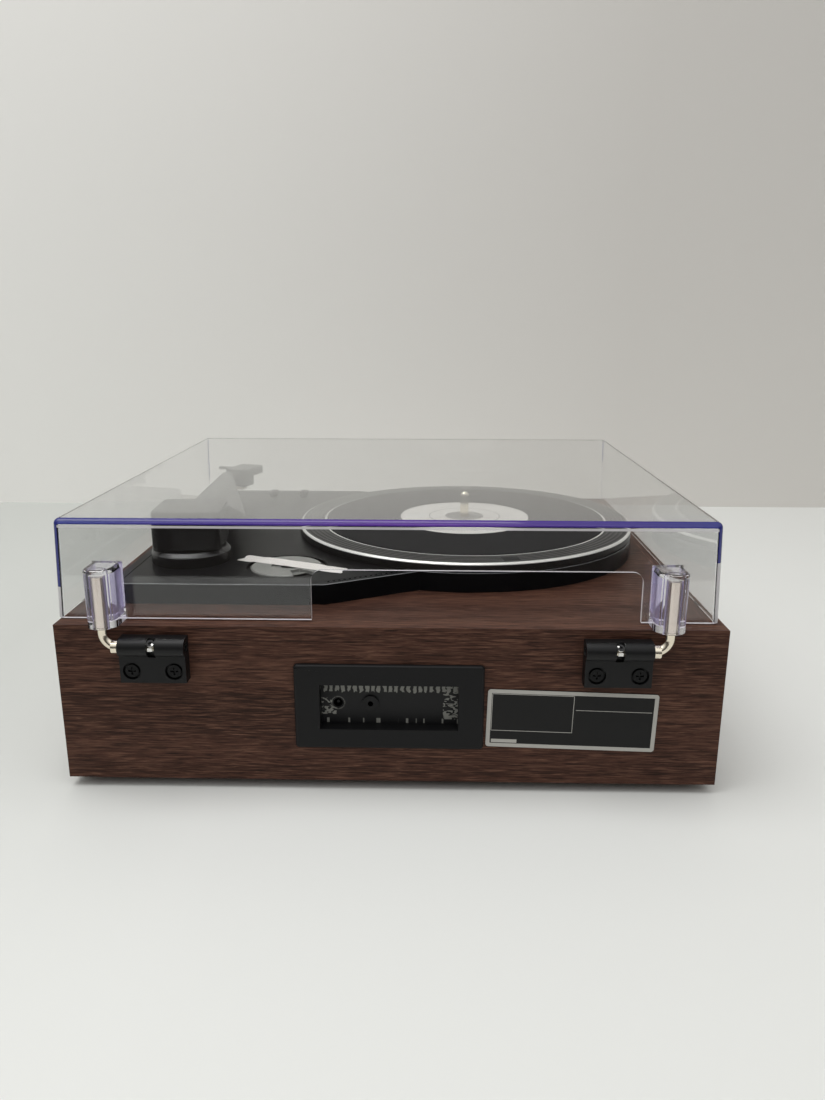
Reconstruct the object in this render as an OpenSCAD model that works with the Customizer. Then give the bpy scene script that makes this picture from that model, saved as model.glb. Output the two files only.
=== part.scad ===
// Record player with built-in speakers and a clear hinged lid, in millimetres.
// +Z is up, the front faces -Y, and the origin lies on the table under the middle of the whole object.
// Places on the deck are given as x across and as a distance in from the plinth's rear face.

/* [Plinth] */
// Width of the plinth
plinth_w = 430; // [410:1:470]
// Depth of the plinth from front to back
plinth_d = 401; // [392:1:440]
// Height of the plinth above its feet
plinth_h = 108; // [98:1:130]
// Thickness of the plinth's boards
board_t = 12; // [10:0.5:15]
// Height of a foot
foot_h = 7; // [5:0.5:12]
// Diameter of a foot
foot_d = 30; // [20:1:40]
// Distance from the plinth's sides to a foot's centre
foot_inset = 34; // [30:1:60]

/* [Lid] */
// Gap between the lid's side walls and the plinth's sides
lid_side_inset = 1.2; // [0.4:0.1:4]
// How far the lid and its hinges sit to the right of the plinth's middle
lid_shift = 2.4; // [0:0.1:3]
// Setback of the lid's rear wall from the plinth's rear face
lid_rear_inset = 10.7; // [9:0.1:16]
// Setback of the lid's front wall from the plinth's front face
lid_front_inset = 3; // [1:0.5:8]
// Wall thickness of the lid
lid_t = 3; // [2:0.1:4]
// Radius inside the lid's edges
lid_inner_r = 1; // [0.6:0.1:3]
// How far each lid wall leans in from its bottom to its top
lid_draft = 1.9; // [0.5:0.1:3]
// Gap under the lid's walls, filled by its bumpers
lid_gap = 1; // [0.6:0.1:3]
// Clearance from the tonearm's cover up to the lid's ceiling
lid_headroom = 11.3; // [8:0.1:20]
// Width of the cut-out in the lid's rear wall
cutout_w = 212; // [120:1:240]
// Height of that cut-out above the lid's bottom edge
cutout_h = 33.4; // [20:0.1:45]
// Corner radius of the cut-out
cutout_r = 7; // [3:0.5:12]
// Sideways place of the cut-out's middle
cutout_x = -58; // [-65:0.5:0]
// Length of a lid bumper
bumper_len = 12; // [6:1:20]

/* [Hinges] */
// Distance of each hinge's centre in from the plinth's side
hinge_from_side = 67.7; // [64:0.1:80]
// Width of a hinge body
hinge_w = 42.3; // [34:0.1:46]
// Height of the hinge axis below the deck
hinge_drop = 12; // [10:0.1:16]
// Distance of the hinge axis behind the plinth's rear face
hinge_out = 6.2; // [6.2:0.1:9]
// Diameter of a hinge barrel
barrel_d = 12.2; // [10.5:0.1:12.4]
// Thickness of a hinge's mounting plate
hinge_plate_t = 9; // [7:0.5:10]
// Depth of the mounting plate below the hinge axis
hinge_plate_h = 23.5; // [20:0.5:30]
// Distance between a hinge's two screws
hinge_screw_pitch = 27; // [22:0.5:28]
// Diameter of a hinge rod
rod_d = 6.2; // [5:0.1:6.6]
// Bend radius on the middle line of a hinge rod
rod_bend = 9.6; // [5:0.1:10]
// Width of a moulded socket on the lid
socket_w = 19.5; // [17:0.1:26]
// Height of a socket
socket_h = 38.5; // [36:0.1:46]
// Depth of the rod's pocket in its socket
pocket_h = 34.5; // [28:0.5:34.5]
// Width of the slot that shows a hinge's friction screw
slot_w = 4.9; // [3.5:0.1:6]

/* [Deck plate] */
// Gap from the plinth's right side to the deck plate
plate_side_gap = 21; // [16:0.5:30]
// Gap from the plinth's rear face to the deck plate
plate_rear_gap = 44.5; // [36:0.5:50]
// Length of the deck plate along the plinth's depth
plate_len = 317; // [300:1:330]
// Height of the deck plate
plate_h = 14.5; // [13:0.1:18]
// Wall and skin thickness of the deck plate
plate_t = 3; // [2:0.1:4]
// Corner radius of the deck plate
plate_r = 9; // [4:0.5:14]
// Length of the plate's straight rear edge
plate_edge = 148; // [130:1:160]
// Sideways run of the slanting edge down to the round part
slant_run = 59; // [50:1:70]
// Forward run of the slanting edge down to the round part
slant_fall = 31.6; // [26:0.2:40]

/* [Platter] */
// Distance of the spindle left of the plinth's middle
platter_x = 55; // [50:0.5:60]
// Distance of the spindle in from the plinth's rear face
platter_in = 214; // [205:1:222]
// Diameter of the platter
platter_d = 280; // [264:1:284]
// Height of the platter's rim
platter_rim_h = 6.3; // [5:0.1:10]
// Gap between the platter and the deck plate
platter_gap = 1.2; // [0.8:0.1:2]
// Thickness of the platter's disc
platter_disc_t = 2; // [1.6:0.1:2.2]
// Diameter of the mat
mat_d = 236; // [200:1:244]
// Thickness of the mat
mat_t = 2; // [1.6:0.1:2.4]
// Diameter of the spindle
spindle_d = 7.2; // [6.8:0.05:7.2]
// Length of the spindle above the mat
spindle_up = 21.5; // [14:0.5:24]
// Diameter of the belt ring under the platter
ring_d = 176; // [150:1:184]
// Diameter of the motor pulley
pulley_d = 12; // [9:0.5:14]
// Distance between the belt ring and the pulley
pulley_gap = 8; // [5:0.5:9]
// Thickness of the belt
belt_t = 0.8; // [0.6:0.1:1.2]
// Width of the belt
belt_w = 4; // [3:0.5:4.5]
// Diameter of the motor
motor_d = 36; // [28:0.5:37]
// Length of the motor
motor_len = 26; // [18:0.5:32]

/* [Tonearm] */
// Distance of the arm's pivot in from the deck plate's right edge
pivot_from_edge = 41; // [40:0.5:46]
// Distance of the arm's pivot in from the deck plate's rear edge
pivot_from_rear = 62.5; // [50:0.5:70]
// Angle of the resting arm, turned outwards
arm_rest_angle = 4.4; // [2:0.1:6]
// Diameter of the arm's base
arm_base_d = 58; // [48:0.5:60]
// Height of the arm's base
arm_base_h = 11; // [9:0.5:14]
// Width of the arm's rear cover
cover_w = 49; // [46:0.5:56]
// Length of the arm's rear cover
cover_len = 50; // [48:0.5:60]
// Height of the arm's rear cover
cover_h = 26.5; // [25.5:0.5:30]
// Length from the pivot to the beam's end
beam_len = 190; // [176:1:200]
// Width of the beam at the cover
beam_w = 22; // [16:0.5:22]
// Width of the beam at the headshell
beam_tip_w = 12; // [10:0.5:14]
// Height of the beam inside the cover
beam_h = 11; // [9:0.5:11]
// Length from the pivot to the end of the beam's flared hood
hood_end = 146; // [110:1:146]
// Reach of the flared hood towards the platter
hood_in = 37; // [24:0.5:38]
// Height of the beam at the headshell
beam_tip_h = 10; // [9:0.5:12]
// Angle of the headshell, turned towards the platter
head_angle = 22; // [15:0.5:26]
// Length of the headshell
head_len = 40; // [34:0.5:42]
// Width of the headshell
head_w = 24; // [19:0.5:26]
// Height of the stylus tip above the mat
tip_above_mat = 1.1; // [0.8:0.1:2]

/* [45 adapter] */
// Distance of the adapter in from the deck plate's right edge
adapter_from_edge = 115; // [113:0.5:117]
// Distance of the adapter in from the deck plate's rear edge
adapter_from_rear = 45.5; // [42:0.5:48]
// Diameter of the adapter's flange
adapter_d = 52; // [46:0.5:54]
// Diameter of the boss that fills a record's large hole
adapter_boss_d = 38; // [37.4:0.1:38.2]
// Height of the adapter
adapter_h = 6.5; // [5.5:0.5:7]
// Depth of the adapter's recess
recess_depth = 6; // [5.5:0.5:7]

/* [Rear fittings] */
// Width of the jack bezel
bezel_w = 123; // [112:0.5:130]
// Height of the jack bezel
bezel_h = 58.6; // [48:0.2:62]
// How far the bezel stands out of the rear panel
bezel_t = 3; // [2:0.5:5]
// Width of the bezel's window
window_w = 90; // [86:0.5:100]
// Height of the bezel's window
window_h = 31; // [28:0.5:38]
// Depth of the recess from the rear face to the jack plate
jack_recess = 7.5; // [6:0.5:10]
// Height of the bezel's middle below the deck
bezel_drop = 54; // [46:0.5:58]
// Diameter of the power inlet
dc_d = 6; // [5.6:0.1:6.4]
// Diameter of the audio outlet
audio_d = 3.6; // [3.5:0.02:3.7]
// Width of the rating plate
rating_w = 110; // [80:0.5:114]
// Height of the rating plate
rating_h = 40.5; // [30:0.5:44]
// Thickness of the rating plate
rating_t = 0.6; // [0.4:0.1:1]
// Tilt of the rating plate as it was stuck on
rating_tilt = 1.5; // [0:0.1:2]

/* [Front controls and speakers] */
// Distance of each speaker's middle in from the plinth's side
speaker_from_side = 77; // [75:0.5:89]
// Diameter of the speaker's opening
speaker_d = 42; // [36:0.5:42]
// Width of a grille
grille_w = 118; // [100:0.5:120]
// Height of a grille
grille_h = 78; // [60:0.5:82]
// How far a grille stands out
grille_t = 4; // [3:0.5:6]
// Width of the control plate
control_w = 116; // [100:0.5:126]
// Height of the control plate
control_h = 46; // [38:0.5:60]
// Thickness of the control plate
control_t = 2; // [1.5:0.1:3]
// Sideways distance from the middle to each knob
knob_x = 30; // [26:0.5:36]
// Diameter of a knob
knob_d = 26; // [20:0.5:30]
// Length of a knob
knob_len = 11.5; // [9:0.5:16]

/* [Hidden] */
$fn = 96;

walnut = "#4b322a";
black = "#161617";
clear = "#c8cdd8";
nickel = "#cfc9bb";
steel = "#9a9a98";
brass = "#b8964a";
green = "#1f5a3a";

// Clearances that are shared by mating pieces
run_gap = 0.05;
fit_gap = 0.1;
soft_gap = 0.3;
lift_gap = 0.4;
over = 1;

// Heights and reference faces
deck_z = foot_h + plinth_h;
rear_over = hinge_out + barrel_d / 2;
knob_gap = 0.5;
front_over = control_t + knob_gap + knob_len;
y_rear = (plinth_d + front_over - rear_over) / 2;
y_front = y_rear - plinth_d;
inner_w = plinth_w - 2 * board_t;
inner_d = plinth_d - 2 * board_t;
inner_mid_y = (y_front + y_rear) / 2;
face_z = foot_h + plinth_h / 2;
hinge_x = plinth_w / 2 - hinge_from_side;
speaker_x = plinth_w / 2 - speaker_from_side;

// Deck plate and platter
plate_right = plinth_w / 2 - plate_side_gap;
plate_front_in = plate_rear_gap + plate_len;
skin_z = plate_h - plate_t;
platter_r = platter_d / 2;
platter_z = plate_h + platter_gap;
platter_top = platter_z + platter_rim_h;
mat_r = mat_d / 2;
mat_sink = 1.5;
mat_seat = platter_top - mat_sink;
mat_top = mat_seat + mat_t;
well_r = platter_r - 12;
disc_z = mat_seat - platter_disc_t;
ring_r = ring_d / 2;
ring_wall = 4;
ring_foot = plate_t + 3.5;
hub_r = 14;
axle_d = spindle_d + 0.8;
hub_z = plate_t + 6;
bush_d = axle_d + 6;
bush_flange_d = 26;
bush_flange_t = 2;
bush_len = 32;
bush_end = 5;
motor_off = ring_r + pulley_gap + pulley_d / 2;
motor_angle = 135;
motor_shaft_d = 3;
motor_rim = 2;
motor_flange_t = 2;
motor_screw_r = motor_d / 2 - 5;
belt_z = ring_foot + 2;
pulley_z = belt_z - 1.2;
pulley_h = belt_w + 2.4;

// 45 adapter
adapter_clear = 3.2;
adapter_flange_t = 2.2;

// Tonearm
pivot_x = plate_right - pivot_from_edge;
pivot_in = plate_rear_gap + pivot_from_rear;
cover_z = plate_h + arm_base_h + 0.5;
cover_t = 2.5;
cover_back = 22;
cover_r = 6;
yoke_t = 3;
post_d = 10;
pin_d = 4;
pin_z = cover_z + cover_h / 2;
cheek_t = 3.5;
cheek_in = beam_w / 2 + 1.5;
beam_z = cover_z + 8;
beam_start = 10;
hood_start = cover_len - cover_back + 2.2;
hood_top = cover_z + cover_h - 1;
hood_out = 10;
hood_strip = 15;
hood_strip_out = 1.5;
stub_d = 7;
head_z = beam_z + 4;
head_h = 7;
head_start = beam_tip_w / 2 + 0.6;
head_collar_d = 11;
head_collar_len = 8;
head_r = 3;
cart_w = 16;
cart_len = 18;
cart_h = 10;
cart_at = head_start + head_collar_len + 0.5;
tip_at = cart_at + cart_len - 5;
tip_z = mat_top + tip_above_mat;
lid_top = cover_z + cover_h + lid_headroom + lid_t;
rest_at = 150;
rest_w = 18;
rest_len = 8;
rest_t = 4;
rest_lip_h = 7;
cue_r = 63;
cue_bar_w = 6;
cue_bar_t = 3.2;
cue_stem_d = 6;
cue_stem_angle = -95;
cue_arc = 63;
cue_travel = 5;

// Cue lever beside the arm
lever_from_edge = 17;
lever_x = plate_right - lever_from_edge;
lever_in = pivot_in + 50;
lever_hub_d = 8;
lever_hub_w = 5;
lever_pin_d = 4;
lever_len = 28;
lever_rise = 35;
ear_t = 2.5;
ear_z = plate_h + 8;

// Pieces on the circuit board
sink = [44, 10, 22];
cap_d = 12;
cap_h = 18;
cap_steps = [-30, -12, 6];

// Screws
screw_d = 3.4;
screw_head_d = 7.2;
screw_head_h = 2.4;
hinge_screw_d = 3.6;
hinge_head_d = 8.6;
hinge_head_h = 2.6;
hinge_bore_d = 11.4;
hinge_bore_depth = 3;
hinge_screw_drop = 15.5;
friction_tilt = 45;
cross_len = 5;
cross_w = 1.2;
cross_deep = 1.2;

// Lid and hinge rods
lid_edge_r = lid_t + lid_inner_r;
lid_w = plinth_w - 2 * lid_side_inset;
lid_back = y_rear - lid_rear_inset;
lid_front = y_front + lid_front_inset;
socket_x = hinge_x + hinge_w / 2 + rod_bend + 0.3;
socket_z = lid_gap;
socket_back = y_rear + rear_over - 0.3;
socket_wall = 2.8;
socket_floor = 4.5;
socket_cap = 3.5;
socket_tube_t = 1.5;
rod_head_d = rod_d + 1.2;
pocket_gap = 0.4;
collar_d = rod_d + 3;
collar_len = 4;

// Rear fittings
jack_z = deck_z - bezel_drop;
bezel_r = 2.5;
tunnel_wall = 2;
jack_plate_t = 2;
dc_x = 34;
audio_x = 12.6;
jack_row = -1.3;
dc_body = [11, 14, 12];
audio_body = [9, 15, 10];
audio_nut_d = 10.9;
audio_nut_t = 1.5;
audio_thread_d = 6;
dc_nose_d = 7.8;
dc_pin_d = 2;
rating_r = 2;
rating_x = -(bezel_w / 2 + rating_w / 2 + 2);
rating_z = jack_z - 8.6;

// Front
basket_d = speaker_d + 14;
basket_t = 2.5;
basket_len = 18;
basket_wall = 1.5;
cone_deep = 9.5;
dome_deep = 8;
cone_t = 1;
magnet_d = 34;
magnet_t = 12;
speaker_screw_r = speaker_d / 2 + 4;
speaker_screw_d = 2.6;
speaker_head_d = 4.6;
speaker_head_h = 2;
grille_r = 6;
grille_skin = 1.2;
shaft_d = 6;
bush_pot_d = 9;
pot_d = 17;
pot_len = 9;
lamp_d = 5;
circuit = [120, 80, 1.6];
standoff_h = 8;
standoff_d = 6;
standoff_inset = 6;

// Switches at the front of the deck plate
speed_from_edge = 62;
stop_from_edge = 92;
speed_x = plate_right - speed_from_edge;
stop_x = plate_right - stop_from_edge;
switch_in = plate_front_in - 28;
switch_knob = [7, 12, 4.5];
switch_stem = [3, 4];
switch_travel = 6;
switch_body = [9, 24, 8];
boss_d = 9;
boss_in = 12;
boss_near = 10;
boss_far = 122;

function in_y(from_rear) = y_rear - from_rear;
function plate_bosses() = [[plate_right - boss_in, plate_rear_gap + boss_in + 1],
    [plate_right - boss_in, plate_front_in - boss_in], [plate_right - boss_far, plate_rear_gap + boss_near],
    [plate_right - boss_far, plate_front_in - boss_near]];
function foot_places() = [for (sx = [-1, 1], sy = [-1, 1])
    [sx * (plinth_w / 2 - foot_inset), inner_mid_y + sy * (plinth_d / 2 - foot_inset)]];
function hinge_screw_places() = [for (side = [-1, 1], step = [-1, 1])
    lid_shift + side * hinge_x + step * hinge_screw_pitch / 2];

module on_deck(x, from_rear, z = 0) {
    translate([x, in_y(from_rear), deck_z + z]) children();
}

module rounded_rect(w, h, r) {
    square([w - 2 * r, h], center = true);
    square([w, h - 2 * r], center = true);
    for (sx = [-1, 1], sy = [-1, 1])
        translate([sx * (w / 2 - r), sy * (h / 2 - r)]) circle(r);
}

// A flat piece that stands upright, with its rear face at y and its thickness towards the front
module upright(x, y, z, t) {
    translate([x, y, z]) rotate([90, 0, 0]) linear_extrude(t) children();
}

// The arm's own frame: the pivot at the origin, the beam along -Y, heights above the deck
module arm_frame() {
    on_deck(pivot_x, pivot_in) rotate([0, 0, arm_rest_angle]) children();
}

// The headshell's own frame at the end of the beam
module head_frame() {
    arm_frame() translate([0, -beam_len, 0]) rotate([0, 0, -head_angle]) children();
}

// A screw that points down -Z from its head's underside at the origin
module screw(d, len, head_d, head_h, cross = false) {
    translate([0, 0, -len]) cylinder(d = d, h = len + head_h / 2);
    difference() {
        cylinder(d = head_d, h = head_h);
        if (cross)
            for (turn = [0, 90])
                rotate([0, 0, turn])
                    translate([-cross_len / 2, -cross_w / 2, head_h - cross_deep])
                        cube([cross_len, cross_w, cross_deep + over]);
    }
}

module top_board() {
    color(walnut)
        difference() {
            translate([-inner_w / 2, y_front + board_t, deck_z - board_t]) cube([inner_w, inner_d, board_t]);
            on_deck(-platter_x, platter_in, -board_t - over) cylinder(d = bush_d + 2, h = board_t + 2 * over);
            motor_frame() translate([0, 0, -board_t - over])
                cylinder(d = motor_d + 2 * motor_rim + 2, h = board_t + 2 * over);
            for (place = plate_bosses())
                on_deck(place[0], place[1], -board_t - over)
                    cylinder(d = screw_d + 2 * fit_gap, h = board_t + 2 * over);
        }
}

module rear_panel() {
    color(walnut)
        difference() {
            translate([-plinth_w / 2, y_rear - board_t, foot_h]) cube([plinth_w, board_t, plinth_h]);
            upright(0, y_rear + over, jack_z, board_t + 2 * over)
                square([window_w + 2 * tunnel_wall + 2 * fit_gap, window_h + 2 * tunnel_wall + 2 * fit_gap],
                    center = true);
            for (x = hinge_screw_places())
                translate([x, y_rear + over, deck_z - hinge_drop - hinge_screw_drop])
                    rotate([90, 0, 0]) cylinder(d = hinge_screw_d + 2 * fit_gap, h = board_t + 2 * over);
        }
}

module side_board(side) {
    color(walnut)
        translate([side > 0 ? inner_w / 2 : -plinth_w / 2, y_front + board_t, foot_h])
            cube([board_t, inner_d, plinth_h]);
}

module left_side() {
    side_board(-1);
}

module right_side() {
    side_board(1);
}

module front_baffle() {
    color(walnut)
        difference() {
            translate([-plinth_w / 2, y_front, foot_h]) cube([plinth_w, board_t, plinth_h]);
            for (side = [-1, 1]) {
                translate([side * speaker_x, y_front - over, face_z])
                    rotate([-90, 0, 0]) cylinder(d = speaker_d, h = board_t + 2 * over);
                speaker_ring(side) rotate([-90, 0, 0])
                    translate([0, 0, board_t / 3]) cylinder(d = speaker_screw_d + 2 * fit_gap, h = board_t);
                translate([side * knob_x, y_front - over, face_z])
                    rotate([-90, 0, 0]) cylinder(d = bush_pot_d + 2 * fit_gap, h = board_t + 2 * over);
            }
            translate([0, y_front - over, face_z])
                rotate([-90, 0, 0]) cylinder(d = lamp_d + 2 * fit_gap, h = board_t + 2 * over);
        }
}

// Places of one speaker's four screws, on the baffle's front face
module speaker_ring(side) {
    for (turn = [45 : 90 : 315])
        translate([side * speaker_x + speaker_screw_r * cos(turn), y_front,
            face_z + speaker_screw_r * sin(turn)])
            children();
}

module bottom_board() {
    color(walnut)
        difference() {
            translate([-inner_w / 2, y_front + board_t, foot_h]) cube([inner_w, inner_d, board_t]);
            for (place = foot_places())
                translate([place[0], place[1], foot_h - over])
                    cylinder(d = screw_d + 2 * fit_gap, h = board_t - 2 + over);
        }
}

module feet() {
    color(black)
        for (place = foot_places())
            translate([place[0], place[1], 0])
                difference() {
                    cylinder(d = foot_d, h = foot_h);
                    translate([0, 0, -over]) cylinder(d = screw_head_d + 2, h = foot_h / 2 + over);
                    cylinder(d = screw_d + 2 * fit_gap, h = foot_h + over);
                }
}

module foot_screws() {
    color(steel)
        for (place = foot_places())
            translate([place[0], place[1], foot_h / 2])
                mirror([0, 0, 1]) screw(screw_d, foot_h / 2 + board_t - 4, screw_head_d, screw_head_h, true);
}

module grille(side) {
    color(black)
        difference() {
            upright(side * speaker_x, y_front, face_z, grille_t) rounded_rect(grille_w, grille_h, grille_r);
            translate([side * speaker_x, y_front - grille_t + grille_skin, face_z])
                rotate([-90, 0, 0]) cylinder(d = speaker_d - 2, h = grille_t);
        }
}

module grille_left() {
    grille(-1);
}

module grille_right() {
    grille(1);
}

// One speaker's frame: the baffle's inner face at the origin, depth along +Z
module speaker_frame(side) {
    translate([side * speaker_x, y_front + board_t, face_z]) rotate([-90, 0, 0]) children();
}

module speaker_baskets() {
    color(steel)
        for (side = [-1, 1])
            difference() {
                speaker_frame(side) {
                    rotate_extrude()
                        polygon([[speaker_d / 2, 0], [basket_d / 2, 0], [basket_d / 2, basket_t],
                            [speaker_d / 2 + basket_wall, basket_t], [magnet_d / 2 - 2, basket_len],
                            [0, basket_len], [0, basket_len - basket_wall],
                            [magnet_d / 2 - 2 - basket_wall, basket_len - basket_wall],
                            [speaker_d / 2, basket_t]]);
                    translate([0, 0, basket_len]) cylinder(d = magnet_d, h = magnet_t);
                }
                speaker_ring(side) rotate([-90, 0, 0])
                    cylinder(d = speaker_screw_d + 2 * fit_gap, h = board_t + basket_t + over);
            }
}

module speaker_cones() {
    surround = speaker_d / 2 - fit_gap;
    cone_r = surround - 4;
    coil_r = 7;
    color(black)
        for (side = [-1, 1])
            speaker_frame(side)
                rotate_extrude()
                    polygon([[surround, 0.5], [cone_r, 0.5], [coil_r, cone_deep], [0, dome_deep],
                        [0, dome_deep + cone_t], [coil_r - 0.5, cone_deep + cone_t + 0.1],
                        [cone_r - 0.5, cone_t + 0.5], [surround, cone_t + 0.5]]);
}

module speaker_screws() {
    color(steel)
        for (side = [-1, 1])
            speaker_ring(side)
                translate([0, board_t + basket_t, 0]) rotate([-90, 0, 0])
                    screw(speaker_screw_d, board_t / 2 + basket_t, speaker_head_d, speaker_head_h);
}

module control_plate() {
    color(black)
        difference() {
            upright(0, y_front, face_z, control_t) rounded_rect(control_w, control_h, 3);
            for (x = [-knob_x, knob_x])
                translate([x, y_front + over, face_z])
                    rotate([90, 0, 0]) cylinder(d = bush_pot_d + 2 * fit_gap, h = control_t + 2 * over);
            translate([0, y_front + over, face_z])
                rotate([90, 0, 0]) cylinder(d = lamp_d + 2 * fit_gap, h = control_t + 2 * over);
        }
}

// A knob with its shaft, turning about an axis along Y, with a pointer groove on its face
module knob(x) {
    groove_w = 1.4;
    groove_deep = 0.8;
    recess_deep = 3;
    color(black)
        translate([x, y_front - front_over, face_z]) rotate([-90, 0, 0]) {
            difference() {
                cylinder(d = knob_d, h = knob_len);
                translate([-groove_w / 2, -knob_d / 2 + 2, -over])
                    cube([groove_w, knob_d / 3, groove_deep + over]);
                translate([0, 0, knob_len - recess_deep])
                    cylinder(d = bush_pot_d + 3, h = recess_deep + over);
            }
            cylinder(d = shaft_d, h = front_over + board_t + pot_len / 2);
        }
}

module volume_knob() {
    knob(knob_x);
}

module function_knob() {
    knob(-knob_x);
}

module control_pots() {
    color(steel)
        for (x = [-knob_x, knob_x])
            translate([x, y_front, face_z]) rotate([-90, 0, 0])
                difference() {
                    union() {
                        translate([0, 0, -control_t - 1])
                            cylinder(d = bush_pot_d, h = control_t + 1 + board_t);
                        translate([0, 0, board_t]) cylinder(d = pot_d, h = pot_len);
                    }
                    translate([0, 0, -control_t - 2])
                        cylinder(d = shaft_d + 2 * run_gap, h = control_t + 2 + board_t + pot_len - 2);
                }
}

module power_lamp() {
    color("#8fae4c")
        translate([0, y_front - control_t - 0.8, face_z])
            rotate([-90, 0, 0]) cylinder(d = lamp_d, h = control_t + 0.8 + board_t - 1);
}

// Circuit board frame: its underside at the origin, in the middle of the floor
module circuit_frame() {
    translate([0, inner_mid_y, foot_h + board_t + standoff_h]) children();
}

module main_board() {
    color(green)
        circuit_frame() {
            translate([-circuit[0] / 2, -circuit[1] / 2, 0]) cube(circuit);
            translate([-sink[0] / 2, circuit[1] / 4, circuit[2] / 2]) cube(sink);
            for (x = cap_steps)
                translate([x, -circuit[1] / 4, circuit[2] / 2]) cylinder(d = cap_d, h = cap_h);
        }
}

module board_standoffs() {
    color(brass)
        circuit_frame()
            for (sx = [-1, 1], sy = [-1, 1])
                translate([sx * (circuit[0] / 2 - standoff_inset), sy * (circuit[1] / 2 - standoff_inset),
                    -standoff_h])
                    cylinder(d = standoff_d, h = standoff_h);
}

module jack_bezel() {
    color(black)
        difference() {
            union() {
                upright(0, y_rear + bezel_t, jack_z, bezel_t) rounded_rect(bezel_w, bezel_h, bezel_r);
                upright(0, y_rear, jack_z, jack_recess)
                    square([window_w + 2 * tunnel_wall, window_h + 2 * tunnel_wall], center = true);
            }
            upright(0, y_rear + bezel_t + over, jack_z, bezel_t + jack_recess + 2 * over)
                square([window_w, window_h], center = true);
        }
}

module jack_plate() {
    color(black)
        difference() {
            upright(0, y_rear - jack_recess, jack_z, jack_plate_t)
                square([window_w + 2 * tunnel_wall, window_h + 2 * tunnel_wall], center = true);
            for (jack = [[dc_x, dc_nose_d], [audio_x, audio_thread_d]])
                translate([jack[0], y_rear - jack_recess + over, jack_z + jack_row]) rotate([90, 0, 0])
                    cylinder(d = jack[1] + 2 * fit_gap, h = jack_plate_t + 2 * over);
        }
}

// A jack's frame: the jack plate's rear surface at the origin, depth along +Z
module jack_frame(x) {
    translate([x, y_rear - jack_recess, jack_z + jack_row]) rotate([90, 0, 0]) children();
}

module dc_jack() {
    bore = 10;
    color(black)
        jack_frame(dc_x) {
            difference() {
                union() {
                    translate([0, 0, 0.4]) cylinder(d = dc_nose_d, h = jack_plate_t);
                    translate([-dc_body[0] / 2, -dc_body[2] / 2, jack_plate_t])
                        cube([dc_body[0], dc_body[2], dc_body[1]]);
                }
                translate([0, 0, -over]) cylinder(d = dc_d, h = bore + over);
            }
            translate([0, 0, 2]) cylinder(d = dc_pin_d, h = bore);
        }
}

module audio_jack() {
    bore = 14;
    color(black)
        jack_frame(audio_x)
            difference() {
                union() {
                    translate([0, 0, -audio_nut_t]) cylinder(d = audio_nut_d, h = audio_nut_t);
                    cylinder(d = audio_thread_d, h = jack_plate_t + over);
                    translate([-audio_body[0] / 2, -audio_body[2] / 2, jack_plate_t])
                        cube([audio_body[0], audio_body[2], audio_body[1]]);
                }
                translate([0, 0, -audio_nut_t - over]) cylinder(d = audio_d, h = bore + audio_nut_t + over);
            }
}

module rating_plate() {
    color(black)
        translate([rating_x, y_rear, rating_z]) rotate([0, -rating_tilt, 0])
            rotate([-90, 0, 0]) linear_extrude(rating_t) rounded_rect(rating_w, rating_h, rating_r);
}

// A hinge's frame: on the hinge axis, in the middle of the body
module hinge_frame(side) {
    translate([lid_shift + side * hinge_x, y_rear + hinge_out, deck_z - hinge_drop]) children();
}

module hinge_body(side) {
    web_h = barrel_d / 2;
    color(black)
        hinge_frame(side)
            difference() {
                union() {
                    translate([-hinge_w / 2, 0, 0]) rotate([0, 90, 0]) cylinder(d = barrel_d, h = hinge_w);
                    translate([-hinge_w / 2, -hinge_out, -web_h]) cube([hinge_w, hinge_out, 2 * web_h]);
                    translate([-hinge_w / 2, -hinge_out, -hinge_plate_h])
                        cube([hinge_w, hinge_plate_t, hinge_plate_h]);
                }
                translate([-hinge_w / 2 - over, 0, 0]) rotate([0, 90, 0])
                    cylinder(d = rod_d + 2 * run_gap, h = hinge_w + 2 * over);
                translate([-slot_w / 2, 0, -barrel_d / 2]) cube([slot_w, barrel_d, barrel_d + over]);
                for (step = [-1, 1])
                    translate([step * hinge_screw_pitch / 2, hinge_plate_t - hinge_out, -hinge_screw_drop])
                        rotate([90, 0, 0]) {
                            translate([0, 0, -over])
                                cylinder(d = hinge_bore_d, h = hinge_bore_depth + over);
                            cylinder(d = hinge_screw_d + 2 * fit_gap, h = hinge_plate_t + over);
                        }
            }
}

module hinge_left() {
    hinge_body(-1);
}

module hinge_right() {
    hinge_body(1);
}

module hinge_screws() {
    color(black)
        for (x = hinge_screw_places())
            translate([x, y_rear + hinge_plate_t - hinge_bore_depth, deck_z - hinge_drop - hinge_screw_drop])
                rotate([-90, 0, 0])
                    screw(hinge_screw_d, hinge_plate_t - hinge_bore_depth + board_t - 3, hinge_head_d,
                        hinge_head_h, true);
}

module friction_screws() {
    length = barrel_d / 2 - rod_d / 2 - soft_gap - 0.4;
    color(nickel)
        for (side = [-1, 1])
            hinge_frame(side)
                rotate([friction_tilt - 90, 0, 0]) translate([0, 0, rod_d / 2 + soft_gap])
                    difference() {
                        cylinder(d = slot_w - 2 * fit_gap, h = length);
                        translate([0, 0, length / 2]) cylinder(d = slot_w / 2, h = length, $fn = 6);
                    }
}

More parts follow.
